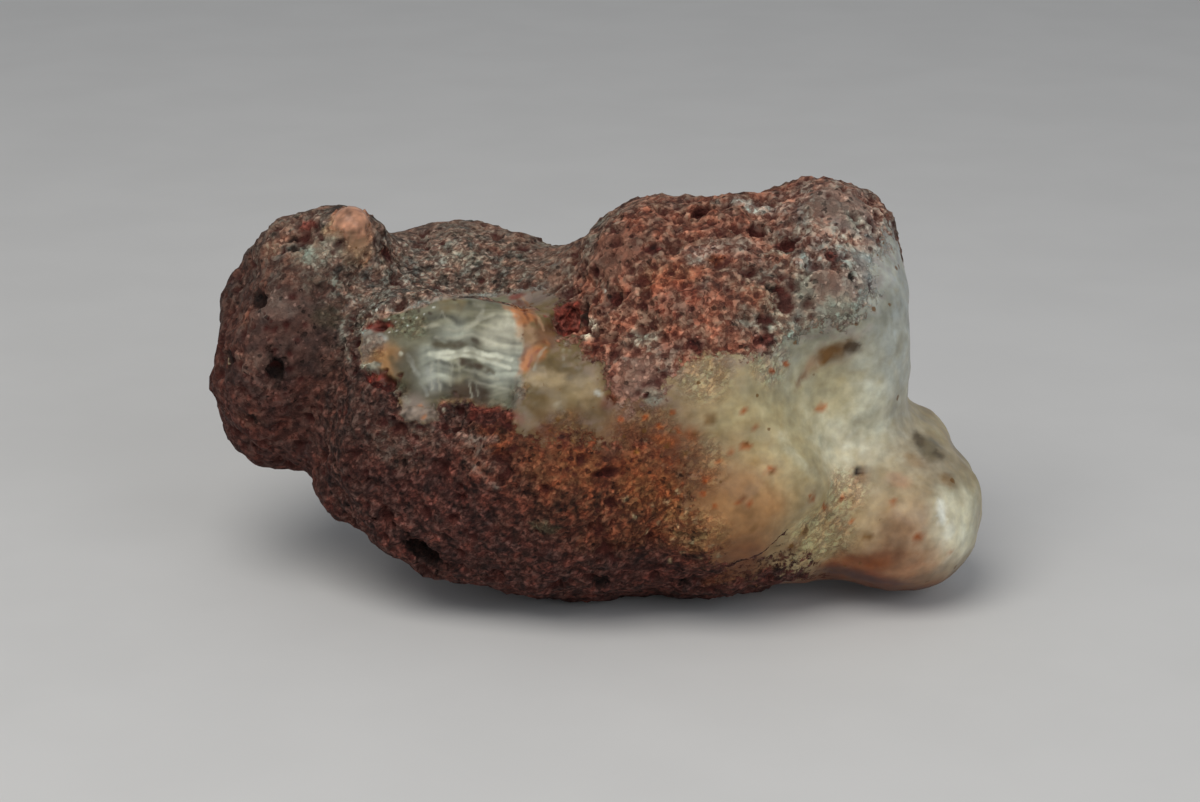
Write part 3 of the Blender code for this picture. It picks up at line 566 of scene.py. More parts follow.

# Pits dug deeper than the solid has them, and lumps; the near-black colour in a pit is painted shade
HOLES = table(Hole, {
    "red_cave": ((-2.5, 7.1), (1.7, 1.9), 0.15, "red"),
    "cave_floor": ((-3.1, 6.1), (1.1, 1.0), 0.3, "red"),
    "cave_shadow": ((-1.2, 7.5), (0.55, 1.35), 0.45, "char", -10.0),
    "under_pit": ((-15.4, -13.2), (2.1, 1.0), 0.6, "char", -32.0),
    "left_hole": ((-28.4, 2.9), (0.75, 1.65), 0.7, "char"),
    "left_edge_hole": ((-32.7, 3.5), (0.6, 1.1), 0.4, "char"),
    "crust_hole": ((-12.7, -1.6), (1.1, 1.4), 0.2, "bark"),
    "crust_strip": ((-9.7, -1.5), (1.6, 0.7), 0.3, "maroon"),
    "rim_hole": ((-19.1, 1.7), (1.6, 0.9), 0.7, "oxblood", -40.0),
    "rim_hole_up": ((-19.8, 2.3), (0.6, 0.5), 0.3, "red"),
    "crest_hole": ((-19.4, 6.6), (1.3, 0.5), 0.4, "red", 6.0),
    "crest_core": ((-19.4, 6.4), (0.9, 0.2), 0.3, "oxblood", 6.0),
    "knob": ((-21.6, 16.2), (2.0, 1.7), -0.5, "salmon"),
    "knob_groove": ((-24.9, 15.3), (0.4, 1.0), 0.35, "bark"),
    "left_lump": ((-19.9, 5.2), (0.9, 0.8), -0.35, "lilac"),
    "cream_lump": ((-20.0, 3.1), (0.7, 0.4), -0.25, "cream"),
    "ledge_lump": ((-16.3, -1.0), (1.3, 0.6), -0.4, "lilac"),
    "shoulder_vesicle": ((16.4, 13.4), (1.0, 0.9), 0.3, "oxblood"),
    "shoulder_vesicle_left": ((13.8, 14.6), (0.8, 0.8), 0.3, "oxblood"),
    "rind_ring": ((12.8, 6.9), (1.1, 1.0), 0.2, "dusk"),
    "rind_edge_hole": ((14.6, 5.3), (0.9, 0.7), 0.3, "oxblood"),
    "belly_slot": ((0.3, -6.4), (1.1, 0.45), 0.7, "oxblood"),
    "belly_low_hole": ((0.1, -15.9), (1.0, 0.75), 0.7, "char"),
    "belly_low_right": ((6.8, -15.8), (0.9, 0.45), 0.6, "char"),
    "neck_hollow": ((-24.5, 9.6), (1.0, 1.2), 0.2, "bark"),
    "ridge_hollow": ((-18.8, 12.8), (1.1, 0.6), 0.3, "oxblood", -20.0),
    "lobe_hole": ((-27.1, 14.3), (0.6, 0.45), 0.5, "char", 30.0),
    "lobe_hole_low": ((-26.9, 13.3), (0.5, 0.35), 0.4, "char"),
    "lobe_low_hole": ((-30.6, -1.5), (0.5, 0.4), 0.4, "char"),
    "belly_pore": ((-12.1, -8.5), (0.5, 0.4), 0.5, "oxblood"),
    "foot_pore": ((22.8, -6.3), (0.45, 0.45), 0.7, "char"),
    "vesicle_right": ((22.0, 11.0), (0.35, 0.35), 0.4, "char"),
    "vesicle_pink": ((20.3, 12.7), (0.7, 0.6), 0.4, "oxblood"),
    "vesicle_peak": ((23.8, 15.5), (0.5, 0.4), 0.4, "oxblood"),
    "vesicle_dot": ((14.9, 9.9), (0.45, 0.35), 0.4, "char"),
    "vesicle_low": ((16.3, 8.8), (0.8, 1.1), 0.4, "oxblood"),
    "vesicle_brick": ((4.6, 13.3), (0.9, 0.7), 0.35, "oxblood"),
    "vesicle_left": ((1.4, 9.0), (0.8, 0.9), 0.4, "oxblood"),
    "vesicle_cave": ((-0.4, 11.4), (0.6, 0.5), 0.4, "oxblood"),
    "vesicle_island": ((4.0, 0.5), (0.35, 0.3), 0.3, "oxblood"),
    "vesicle_mid": ((8.4, 4.9), (0.7, 0.6), 0.35, "oxblood"),
    "ring_orange": ((10.0, 12.4), (0.8, 0.6), 0.25, "rust"),
    "crumb_slot": ((-3.4, -3.2), (0.4, 0.3), 0.3, "oxblood"),
    "belly_hole_left": ((-17.2, -5.4), (0.4, 0.35), 0.4, "char"),
    "back_vug": ((-7.0, 3.0), (2.2, 1.5), 0.5, "oxblood", 25.0, BACK),
    "back_hole": ((-13.0, 9.5), (1.0, 1.0), 0.3, "oxblood", 0.0, BACK),
    "back_hole_low": ((-1.5, -8.5), (1.2, 0.8), 0.3, "char", -15.0, BACK),
    "back_hole_left": ((22.0, 3.0), (0.8, 1.3), 0.3, "char", 0.0, BACK),
    "left_end_hole": ((4.5, 6.0), (1.1, 0.8), 0.3, "char", 30.0, LEFT),
    "top_hole": ((9.5, 3.5), (1.1, 0.8), 0.3, "oxblood", 40.0, TOP),
    "under_hole": ((-12.0, -3.0), (1.3, 0.9), 0.3, "char", 20.0, UNDER),
})

# Where the surface is broken into grains though it is no rind: a mark on the front and a reach
GRAINY_PLACES = (
    ((-17.6, 7.2), 1.5), ((-16.4, 6.6), 1.2), ((-20.2, 4.4), 1.4), ((-18.0, 0.8), 1.2),
    ((-13.0, -1.4), 1.8), ((-9.4, -1.6), 2.0), ((-7.1, 0.8), 1.0), ((19.4, -11.8), 3.0),
    ((4.0, -3.0), 3.0), ((8.4, -5.6), 2.6),
    ((8.8, -12.0), 2.6), ((9.0, 2.6), 2.6), ((15.0, 3.4), 2.0), ((-3.0, -2.8), 2.0),
    ((21.5, -8.0), 2.0), ((-0.4, 5.0), 1.4),
)

# Where the rind of the front wears down to a smooth lump, and where its grains hardly show
SMOOTH_PLACES = (((-21.6, 16.2), 1.8), ((-21.1, 14.2), 0.9))
CALM_PLACES = (
    ((3.5, 1.6), 2.0), ((18.0, 9.0), 2.2), ((20.5, 9.5), 2.2), ((24.2, 11.5), 3.0),
    ((21.5, 17.0), 3.0), ((-21.6, 15.0), 3.0), ((-27.0, 6.0), 4.0), ((1.0, 13.0), 2.5),
)

# Where the solid's steps are eased, in the window's bays, in the crust below it and in the
# crease beside the foot: a mark on the front, a reach and how many rounds
EASED_PLACES = (
    ((-19.4, 4.0), 2.6, 22), ((-12.6, -1.4), 2.0, 14), ((-7.0, 3.0), 2.0, 8), ((-9.0, -1.2), 1.6, 6),
    ((12.2, -14.2), 2.4, 26), ((14.4, -12.9), 2.2, 26), ((16.4, -11.7), 2.0, 26),
)

# Small dots and crumbs of the front: a colour, a half width, how much they cover, and marks
DOTS = (
    ("ember", 0.26, 0.9, (
        (12.7, -8.4), (12.3, -8.9), (13.0, -9.1), (15.1, -6.1), (13.6, -2.5), (9.1, -8.2),
        (10.1, -9.3), (9.2, -7.0), (12.7, -0.9), (18.6, -8.4), (19.7, -9.3), (21.1, -8.5),
        (25.6, -8.9), (22.0, -10.6), (27.9, -12.1), (4.0, -1.4), (6.3, -1.0), (6.9, -2.6),
        (10.6, -5.2), (11.4, -4.4), (5.2, -2.2), (1.8, -1.6), (16.4, 3.2), (15.1, 2.6))),
    ("sienna", 0.22, 0.9, (
        (12.6, -8.7), (15.2, -6.2), (12.8, -3.8), (9.8, -1.7), (8.2, -3.0), (23.0, -6.4),
        (7.5, -4.6), (5.9, -3.9), (3.2, -4.4), (13.5, -11.2), (10.8, -6.8), (19.9, 3.4))),
    ("white", 0.085, 0.6, (
        (-21.3, 7.6), (-20.7, 7.9), (-20.1, 7.7), (-19.6, 8.0), (-21.6, 6.9), (-18.6, 7.2),
        (-18.0, 7.0), (-17.3, 7.3), (-17.9, 6.2), (-18.5, 6.0), (-16.9, 6.6), (-16.2, 7.4),
        (-12.9, -0.9), (-13.6, -1.3), (0.4, 9.6), (-6.9, 9.9), (-15.4, 7.7), (-14.6, 8.2))),
    ("umber", 0.15, 0.85, (
        (-21.0, 7.3), (-20.4, 7.4), (-19.9, 8.1), (-18.3, 7.6), (-17.7, 7.5), (-18.2, 6.6),
        (-17.4, 6.8), (-17.0, 7.8), (-16.6, 7.0), (-18.8, 6.6), (-17.1, 6.1), (-16.0, 8.0),
        (-15.6, 7.2), (-14.9, 7.7), (-21.7, 6.2), (-19.0, 7.8))),
    ("straw", 0.20, 0.6, (
        (7.6, -9.6), (8.4, -10.4), (7.0, -10.9), (9.2, -11.3), (6.4, -12.0), (8.0, -12.4),
        (5.2, -10.6), (4.1, -11.5), (9.7, -12.8), (7.2, -13.3), (5.9, -8.9), (6.8, -8.0),
        (4.6, -9.3), (3.0, -10.1), (8.9, -13.9), (10.4, -13.6), (6.2, -14.0), (2.2, -8.6))),
)

# The rind's finer grains lie in rows that slant down to the right
SLANT = (0.8, 0.1, -0.6)

# Every unevenness of the stone: of its outlines, then of its relief, then of its colours
GRAINS = table(Grain, {
    "border": (1.0, 2.2, 1, 3),
    "border_fine": (1.0, 0.7, 2, 2),
    "window_border": (0.25, 1.0, 3, 2),
    "warp": (0.10, 0.8, 4, 2),
    "bare_border": (0.9, 6.0, 5, 3),
    "crater_edge": (0.8, 0.8, 21, 2),
    "hole_edge": (0.6, 0.8, 41, 3),
    "coarse_lumps": (0.30, 1.7, 31, 3),
    "coarse_grains": (0.20, 0.7, 32, 2),
    "ridges": (2.0, 1.0, 33, 3, (SLANT, 1.8)),
    "fine_lumps": (0.22, 1.9, 34, 2),
    "fine_grains": (0.14, 0.5, 35, 1),
    "bare_swell": (0.14, 2.6, 36, 2),
    "bare_ripple": (0.02, 0.8, 37, 2),
    "bowls": (0.11, 1.3, 38, 2),
    "crumbs": (0.16, 0.5, 39, 2),
    "crumb_lumps": (0.12, 1.1, 42, 1),
    "window_rays": (0.02, 0.5, 40, 2, ((0.0, -0.3, 1.0), 6.0)),
    "window_swell": (0.05, 1.6, 43, 2),
    "wash_edge": (0.35, 2.6, 51, 3),
    "dab_edge": (0.45, 1.1, 61, 3),
    "hole_crumbs": (0.9, 0.6, 62, 2),
    "streak_patches": (0.9, 0.9, 63, 2),
    "rind_patches": (1.0, 1.5, 64, 3),
    "flecks": (1.3, 0.48, 65, 2, (SLANT, 1.6)),
    "dirt": (1.0, 0.9, 66, 3),
})

# Half the factors that a grain's darkness and hue give to the colour under it
TONES = (
    (0.32, (0.10, 0.045, 0.04)), (0.41, (0.28, 0.19, 0.17)), (0.48, (0.46, 0.43, 0.41)),
    (0.56, (0.62, 0.66, 0.66)), (0.66, (0.90, 1.00, 1.00)),
)
HUES = ((0.34, (0.64, 0.43, 0.37)), (0.50, (0.52, 0.48, 0.46)), (0.64, (0.45, 0.54, 0.55)))

# How much the cells' own numbers change a grain's darkness and its hue
CELL_SHADE = 0.09
CELL_HUE = 0.08

# Pale veins through the grains: where one starts and is full, its cover and its factors
VEIN_HALF = (0.022, 0.006)
VEIN_COVER = 0.15
VEIN_FACTOR = (2.1, 2.2, 2.2, 1.0)

# A factor that changes no colour, the rind's roughness, and how far each colour of light wanders
PLAIN = (1.0, 1.0, 1.0, 1.0)
RIND_ROUGHNESS = 0.84
GLOW_COLOURS = (1.0, 0.8, 0.55)

# What the stone's shader group takes: a layer painted on the mesh, and its kind
SKIN_LAYERS = {
    "Rind Tint": ("rind_tint", "Color"),
    "Bare Tint": ("bare_tint", "Color"),
    "Depth": ("rind_depth", "Float"),
    "Soft": ("border", "Float"),
    "Coarse": ("coarse", "Float"),
    "Grainy": ("grainy", "Float"),
    "Floor": ("pit_floor", "Float"),
    "Rim": ("pit_rim", "Float"),
    "Glass": ("glass", "Float"),
    "Calm": ("calm", "Float"),
}

# The stone's finishes: how much light wanders in each, how far, and how it shines
FINISHES = (
    ("rind", 0.0, 1.0, 0.22),
    ("chalcedony", 0.35, 1.0, 0.22),
    ("window", 0.15, 0.3, 0.15),
)

# The soft lights: where each stands, how wide it is, and its tint
LIGHTS = (
    ("key", (-0.12, -0.22, 0.40), 0.34, (1.0, 0.97, 0.93)),
    ("fill", (0.24, -0.34, 0.20), 0.30, (0.90, 0.94, 1.0)),
)

# The floor and the nearest thing that the camera sees in metres, and its frame in millimetres
FLOOR_SIZE = 6.0
NEAREST_SEEN = 0.005
FRAME_WIDTH = 36.0


def smooth(value, low, high):
    """0 below low, 1 above high, with soft ends."""
    t = np.clip((value - low) / (high - low), 0.0, 1.0)
    return t * t * (3.0 - 2.0 * t)


def side_axes(side):
    """Directions for someone looking at a side: back to the eye, to the right, and up."""
    azimuth, elevation = (math.radians(angle) for angle in side)
    level = math.cos(elevation)
    back = Vector((math.sin(azimuth) * level, -math.cos(azimuth) * level, math.sin(elevation)))
    right = Vector((math.cos(azimuth), math.sin(azimuth), 0.0))
    return back, right, back.cross(right)


def run_distance(across, up, start, end):
    """How far each point lies from a straight run."""
    run = (end[0] - start[0], end[1] - start[1])
    along = ((across - start[0]) * run[0] + (up - start[1]) * run[1]) / (run[0] ** 2 + run[1] ** 2)
    along = np.clip(along, 0.0, 1.0)
    return np.hypot(across - start[0] - along * run[0], up - start[1] - along * run[1])


def outline_depth(across, up, outline):
    """How far inside an outline each point lies; outside it is below 0."""
    nearest = np.full(len(across), np.inf)
    inside = np.zeros(len(across), bool)
    for start, end in zip(outline, outline[1:] + outline[:1]):
        nearest = np.minimum(nearest, run_distance(across, up, start, end))
        if start[1] != end[1]:
            crossing = (end[0] - start[0]) * (up - start[1]) / (end[1] - start[1]) + start[0]
            inside ^= ((start[1] > up) != (end[1] > up)) & (across < crossing)
    return np.where(inside, nearest, -nearest)


class Skin:
    """The stone's points while they are worked, in millimetres, and the surface they make."""

    def __init__(self, mesh):
        self.mesh = mesh
        self.points = self.read("vertices", "co", 3) / MM
        self.look()

    def read(self, part, name, width):
        """One number, or width of them, for each point, corner or face of the mesh."""
        found = getattr(self.mesh, part)
        flat = np.empty(len(found) * width)
        found.foreach_get(name, flat)
        return flat.reshape(-1, width)

    def look(self):
        """Writes the points back and looks up the surface again."""
        self.mesh.vertices.foreach_set("co", (self.points * MM).ravel())
        self.mesh.update()
        self.normals = self.read("vertex_normals", "vector", 3)
        faces = [tuple(face.vertices) for face in self.mesh.polygons]
        self.tree = BVHTree.FromPolygons([Vector(p) for p in self.points], faces)

    def mark(self, side, at):
        """The point of the surface seen at a mark."""
        back, right, up = side_axes(side)
        eye = SIGHT + back * SIGHT_DISTANCE
        aim = SIGHT + right * at[0] + up * at[1] - eye
        point = self.tree.ray_cast(eye, aim.normalized())[0]
        if point is None:
            raise ValueError(f"no surface at mark {at} of side {side}")
        return np.array(point)

    def seen(self, side):
        """Each point's mark on a side, across and up, and how squarely it faces that side."""
        back, right, up = side_axes(side)
        eye = np.array(SIGHT + back * SIGHT_DISTANCE)
        ray = self.points - eye
        depth = -(ray @ np.array(back))
        away = -ray / np.linalg.norm(ray, axis=1)[:, None]
        facing = (self.normals * away).sum(axis=1)
        scale = SIGHT_DISTANCE / depth
        return ray @ np.array(right) * scale, ray @ np.array(up) * scale, facing

    def away(self, side, at):
        """How far each point is from a mark."""
        return np.linalg.norm(self.points - self.mark(side, at), axis=1)

    def spot(self, side, at, half, turn=0.0):
        """How far each point is from a mark, where 1 is the edge of a patch of that size."""
        centre = self.mark(side, at)
        away = np.linalg.norm(self.points - centre, axis=1)
        near = away < max(0.7, min(half))
        out = Vector(self.normals[near].mean(axis=0)).normalized()
        _, right, _ = side_axes(side)
        across = (right - out * right.dot(out)).normalized()
        across = Matrix.Rotation(math.radians(turn), 3, out) @ across
        axes = np.array((across, out.cross(across), out))
        reach = (*half, max(half))
        return np.linalg.norm((self.points - centre) @ axes.T / reach, axis=1)

    def grain(self, name):
        """One of the GRAINS at every point: uneven numbers about 0."""
        grain = GRAINS[name]
        places = self.points / grain.width
        if grain.stretch is not None:
            along, factor = grain.stretch
            along = np.array(along) / np.linalg.norm(along)
            places = places - np.outer(places @ along, along) * (1.0 - 1.0 / factor)
        shift = Vector([grain.seed * step for step in SEED_STEPS])
        found = [noise.fractal(Vector(p) + shift, 1.0, 2.0, grain.octaves) for p in places]
        return grain.strength * np.array(found)

    def first_corners(self):
        """The first point of every face."""
        corners = self.read("loops", "vertex_index", 1).astype(int).ravel()
        return corners[self.read("polygons", "loop_start", 1).astype(int).ravel()]


def even_mesh(sizes):
    """An even mesh of the solid, with its facets smoothed."""
    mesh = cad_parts[NODE].data.copy()
    mesh.materials.clear()
    shape = bmesh.new()
    shape.from_mesh(mesh)
    bmesh.ops.remove_doubles(shape, verts=shape.verts, dist=SAME_POINT * MM)
    shape.to_mesh(mesh)
    shape.free()
    stone = bpy.data.objects.new(PIECE, mesh)
    bpy.context.scene.collection.objects.link(stone)
    grid = stone.modifiers.new("grid", "REMESH")
    grid.mode = "VOXEL"
    grid.voxel_size = sizes.grid
    ease = stone.modifiers.new("ease", "SMOOTH")
    ease.factor = HALFWAY
    ease.iterations = 5
    bpy.context.view_layer.update()
    worked = stone.evaluated_get(bpy.context.evaluated_depsgraph_get())
    even = bpy.data.meshes.new_from_object(worked)
    even.name = PIECE
    stone.modifiers.clear()
    stone.data = even
    return stone


def relax(shape, points, rounds):
    """Moves points towards the middle of their neighbours, again and again."""
    for _ in range(rounds):
        bmesh.ops.smooth_vert(
            shape, verts=points, factor=HALFWAY, use_axis_x=True, use_axis_y=True, use_axis_z=True
        )


def refine(stone):
    """Eases the solid's steps in places, and makes the mesh finer where small relief shows."""
    skin = Skin(stone.data)
    zones = Zones(skin)
    first = skin.first_corners()
    front = zones.facing > FINE_FACING
    pitted = front & (zones.rind > -FINE_MARGIN)
    finest = front & (outline_depth(zones.across, zones.up, FINE_OUTLINE) > 0.0)
    shape = bmesh.new()
    shape.from_mesh(stone.data)
    shape.verts.ensure_lookup_table()
    for at, reach, rounds in EASED_PLACES:
        inside = front & (zones.away(at) < reach)
        relax(shape, [shape.verts[i] for i in np.flatnonzero(inside)], rounds)
    shape.faces.ensure_lookup_table()
    again = shape.faces.layers.int.new("again")
    for index in np.flatnonzero(finest[first]):
        shape.faces[index][again] = 1
    halve(shape, [shape.faces[i] for i in np.flatnonzero((pitted | finest)[first])])
    halve(shape, [face for face in shape.faces if face[again]])
    shape.faces.layers.int.remove(again)
    shape.to_mesh(stone.data)
    shape.free()


def halve(shape, faces):
    """Cuts each face's edges in two, and rounds the new points off."""
    edges = list(dict.fromkeys(edge for face in faces for edge in face.edges))
    made = bmesh.ops.subdivide_edges(shape, edges=edges, cuts=1, use_grid_fill=True)
    relax(shape, [item for item in made["geom_inner"] if isinstance(item, bmesh.types.BMVert)], 2)


class Zones:
    """Where each kind of surface is, as depths in millimetres and shares from 0 to 1."""

    def __init__(self, skin):
        across, up, facing = skin.seen(FRONT)
        wander = skin.grain("border")
        fine = skin.grain("border_fine")
        self.across = across + 0.16 * fine
        self.up = up + skin.grain("warp")
        self.facing = facing
        turned = smooth(facing, 0.02, 0.25)
        self.soft = self.softness(across, up, turned)
        bare = self.bare_depth(skin, outline_depth(across, up, BARE_OUTLINE), turned)
        beside = np.abs(across - WINDOW_MIDDLE[0]) < WINDOW_REACH[0]
        level = np.abs(up - WINDOW_MIDDLE[1]) < WINDOW_REACH[1]
        outline = outline_depth(across, up, WINDOW_OUTLINE)
        window = np.where((facing > 0.0) & beside & level, outline, -FAR)
        self.window = window + skin.grain("window_border")
        ragged = (0.4 + 0.7 * self.soft) * wander + 0.3 * fine
        self.rind = np.clip(np.minimum(-(bare + ragged), -self.window - 0.1), -4.0, 4.0)
        self.coarse = self.coarseness(skin.points)
        self.covered = smooth(self.rind, -0.2 - 1.0 * self.soft, 0.4 + 0.8 * self.soft)
        self.grainy = self.near(skin, GRAINY_PLACES)
        self.calm = self.near(skin, CALM_PLACES)

    def softness(self, across, up, turned):
        """How slowly rind gives way to chalcedony: least at the window, most over the foot."""
        soft = 0.9 + turned * (0.1 * smooth(-up, 2.0, 4.5) - 0.6 * smooth(up, -4.5, 3.0))
        soft += 0.5 * turned * smooth(across, 13.0, 18.0) * smooth(up, 0.0, 3.0)
        return soft * (1.0 - turned * smooth(-across, 6.0, 7.5))

    def bare_depth(self, skin, front, turned):
        """How far inside the bare chalcedony each point lies, with the front's outline given."""
        bare = np.full(len(skin.points), -FAR)
        ragged = np.clip(1.0 + skin.grain("bare_border"), 0.65, 1.6)
        for side, at, reach in BARE_PLACES:
            bare = np.maximum(bare, reach - skin.away(side, at) * ragged)
        bare = bare * (1.0 - turned) + front * turned
        for at, reach in SMOOTH_PLACES:
            bare = np.maximum(bare, reach - skin.away(FRONT, at))
        return bare

    def coarseness(self, points):
        """How coarse the rind is: most on the shoulder, the back and the left end."""
        along, deep, high = points.T
        shoulder = smooth(along, -8.0, 0.0) * smooth(high, 13.0, 18.0)
        rear = smooth(deep, 4.0, 9.0)
        left_end = smooth(-along, 22.0, 26.0)
        return np.clip(shoulder + 0.7 * rear + 0.8 * left_end, 0.0, 1.0)

    def away(self, at):
        """How far each point is from a mark, as the front shows it."""
        return np.hypot(self.across - at[0], self.up - at[1])

    def near(self, skin, places):
        """How close each point is to any of the front's places, from 0 to 1."""
        share = np.zeros(len(skin.points))
        for at, reach in places:
            share = np.maximum(share, smooth(1.35 - skin.away(FRONT, at) / reach, 0.0, 0.8))
        return share

    def on_front(self, distances):
        """The least of the distances, where the stone faces the front; elsewhere endless."""
        return np.where(self.facing < 0.05, np.inf, np.minimum.reduce(distances))


def craters(skin, zones, sizes):
    """Open bubbles over the rind: each point's depth in one, nearness to a rim, and dip."""
    rng = np.random.default_rng(BUBBLE_SEED)
    count = len(skin.points)
    order = rng.permutation(count)
    odds = zones.covered * (0.35 + 0.65 * zones.coarse)
    odds = odds * np.where(zones.facing > FINE_FACING, 0.3, 1.0)
    chosen = order[rng.random(count) < odds[order]][: sizes.craters]
    halves = sizes.crater / MM * (0.25 + 0.75 * rng.random(len(chosen)) ** 4.0)
    tree = KDTree(count)
    for index, point in enumerate(skin.points):
        tree.insert(point, index)
    tree.balance()
    floor, rim, dip = np.zeros((3, count))
    warp = 1.0 + skin.grain("crater_edge")
    for index, half in zip(chosen, halves):
        for _, near, distance in tree.find_range(skin.points[index], 1.8 * half):
            r = distance / half * warp[near]
            if r < 1.0:
                floor[near] = max(floor[near], 1.0 - r * r)
                dip[near] = max(dip[near], BUBBLE_DEPTH * half * (1.0 - r * r))
            else:
                rim[near] = max(rim[near], 1.0 - abs(r - BUBBLE_RIM) / BUBBLE_RIM_HALF)
    return floor, rim * (1.0 - floor), dip


def work_relief(skin, zones, sizes):
    """Digs and raises the points. Returns the bubbles' floors and rims, and the named pits."""
    covered = zones.covered
    bare = 1.0 - covered
    window = smooth(zones.window, 0.0, 0.4)
    rise = covered * zones.coarse * (skin.grain("coarse_lumps") + skin.grain("coarse_grains"))
    ridged = 0.20 * (0.5 - np.abs(skin.grain("ridges")))
    finer = ridged + skin.grain("fine_lumps") + skin.grain("fine_grains")
    rise += covered * (1.0 - zones.coarse) * finer
    rise += bare * (1.0 - window) * (skin.grain("bare_swell") + skin.grain("bare_ripple"))
    bowls = smooth(BOWLS_REACH - zones.away(BOWLS_MIDDLE), 0.0, 2.0)
    rise += bare * bowls * (zones.facing > 0) * skin.grain("bowls")
    rise += RIND_STEP * smooth(zones.rind, -0.1, 0.5) * covered
    rise += zones.grainy * bare * (skin.grain("crumbs") + skin.grain("crumb_lumps"))
    rise += window * (skin.grain("window_rays") + skin.grain("window_swell"))
    floor, rim, dip = craters(skin, zones, sizes)
    rise -= dip * covered
    pits = {}
    ragged = 1.0 + skin.grain("hole_edge")
    for name, hole in HOLES.items():
        distance = skin.spot(hole.side, hole.at, hole.half, hole.turn) * ragged
        pits[name] = smooth(1.15 - distance, 0.0, 0.45)
        rise -= hole.deep * np.clip(1.0 - distance**2, 0.0, 1.0) ** 0.7
        if hole.deep > 0.0:
            rim = np.maximum(rim, 0.5 * np.clip(1.0 - np.abs(distance - 1.2) / 0.25, 0.0, 1.0))
    resting = smooth(skin.points[:, 2], 0.15, 0.9)
    skin.points += (rise * resting)[:, None] * skin.normals
    skin.points[:, 2] = np.maximum(skin.points[:, 2], 0.0)
    return floor * covered, rim * covered, pits


def washed(skin, washes, colours, sharpness=1.0):
    """Broad colours blended into each other over the whole stone."""
    total = np.zeros(len(skin.points))
    tint = np.zeros((len(skin.points), 3))
    wander = 1.0 + skin.grain("wash_edge")
    for wash in washes.values():
        distance = skin.away(wash.side, wash.at) * wander / wash.reach
        weight = np.exp(-sharpness * distance**2) + LEAST_WEIGHT
        tint += weight[:, None] * np.array(getattr(colours, wash.colour))
        total += weight
    return tint / total[:, None]


def blend(tints, cover, pigment):
    """Covers each of the tints with a pigment, by the share given for each point."""
    pigment = np.array(pigment)
    for tint in tints:
        tint += cover[:, None] * (pigment - tint)


def add_dabs(skin, tints, colours):
    """Patches of colour with ragged edges."""
    ragged = 1.35 + skin.grain("dab_edge")
    for dab in DABS.values():
        distance = skin.spot(FRONT, dab.at, dab.half, dab.turn)
        cover = dab.cover * smooth(ragged - distance, 0.0, 0.8)
        blend(tints, cover, getattr(colours, dab.colour))


def add_streaks(skin, zones, tints, colours):
    """Lines of colour on the front that come and go along their run."""
    patchy = np.clip(0.8 + skin.grain("streak_patches"), 0.2, 1.0)
    for streak in STREAKS.values():
        runs = zip(streak.points, streak.points[1:])
        away = zones.on_front([run_distance(zones.across, zones.up, *run) for run in runs])
        cover = streak.cover * patchy * smooth(2.0 - away / streak.half, 0.0, 1.7)
        blend(tints, cover, getattr(colours, streak.colour))


def add_dots(zones, tints, colours):
    """Small dots and crumbs of colour on the front."""
    for name, half, cover, marks in DOTS:
        away = zones.on_front([zones.away(at) for at in marks])
        blend(tints, cover * smooth(1.5 - away / half, 0.0, 1.0), getattr(colours, name))


def banding(zones):
    """How much lighter or darker the window's faint bands and upright rays make each point."""
    line = STREAKS["main"].points
    height = zones.up - np.interp(zones.across, [p[0] for p in line], [p[1] for p in line])
    glass = smooth(zones.window, 0.0, 0.5) * smooth(zones.across, -16.5, -14.5)
    shade = np.ones(len(height))
    for index in np.flatnonzero(glass > 0.0):
        at = Vector((zones.across[index] * 0.45, height[index] * 0.45, 5.0))
        drift = noise.noise(at)
        band = noise.fractal(Vector((at.x * 0.5, height[index] * 1.5 + drift, 3.0)), 1.0, 2.0, 2)
        ray = noise.fractal(Vector((at.x * 4.0 + drift, height[index] * 0.3, 7.0)), 1.0, 2.0, 2)
        shade[index] += glass[index] * (0.75 * band + 0.20 * ray)
    return np.clip(shade, 0.4, 1.8)


def paint(skin, zones, pits, colours):
    """The rind's colours and the chalcedony's, for every point."""
    rind = washed(skin, RIND_WASHES, colours)
    patches = skin.grain("rind_patches")[:, None] * (0.5, 0.42, 0.34)
    flecks = (skin.grain("flecks") * (1.0 - zones.coarse))[:, None]
    rind *= np.clip(1.0 + patches + flecks, 0.3, 2.4)
    bare = washed(skin, CHALCEDONY_WASHES, colours)
    dirt = skin.grain("dirt")
    bare *= 1.0 + dirt[:, None] * (0.12, 0.18, 0.28)
    veil = smooth(zones.rind, -2.8, -0.2) * smooth(dirt, -0.1, 0.35)
    blend([bare], 0.5 * veil * (zones.up > -2.0), colours.rose)
    inside = smooth(zones.window, -0.15, 0.25)
    blend([bare], inside, washed(skin, WINDOW_WASHES, colours, 1.6))
    add_dabs(skin, (rind, bare), colours)
    bare *= banding(zones)[:, None]
    add_streaks(skin, zones, (rind, bare), colours)
    add_dots(zones, (rind, bare), colours)
    crumbly = 1.0 + skin.grain("hole_crumbs")[:, None]
    for name, hole in HOLES.items():
        blend((rind, bare), 0.92 * pits[name], np.array(getattr(colours, hole.colour)) * crumbly)
    return rind, bare


def store(mesh, name, values):
    """Keeps a number or a colour for each point in a layer of the mesh."""
    if values.ndim == 2:
        layer = mesh.attributes.new(name, "FLOAT_COLOR", "POINT")
        full = np.ones((len(values), 4))
        full[:, :3] = np.clip(values, 0.0, 1.0)
        layer.data.foreach_set("color", full.ravel())
    else:
        layer = mesh.attributes.new(name, "FLOAT", "POINT")
        layer.data.foreach_set("value", values)


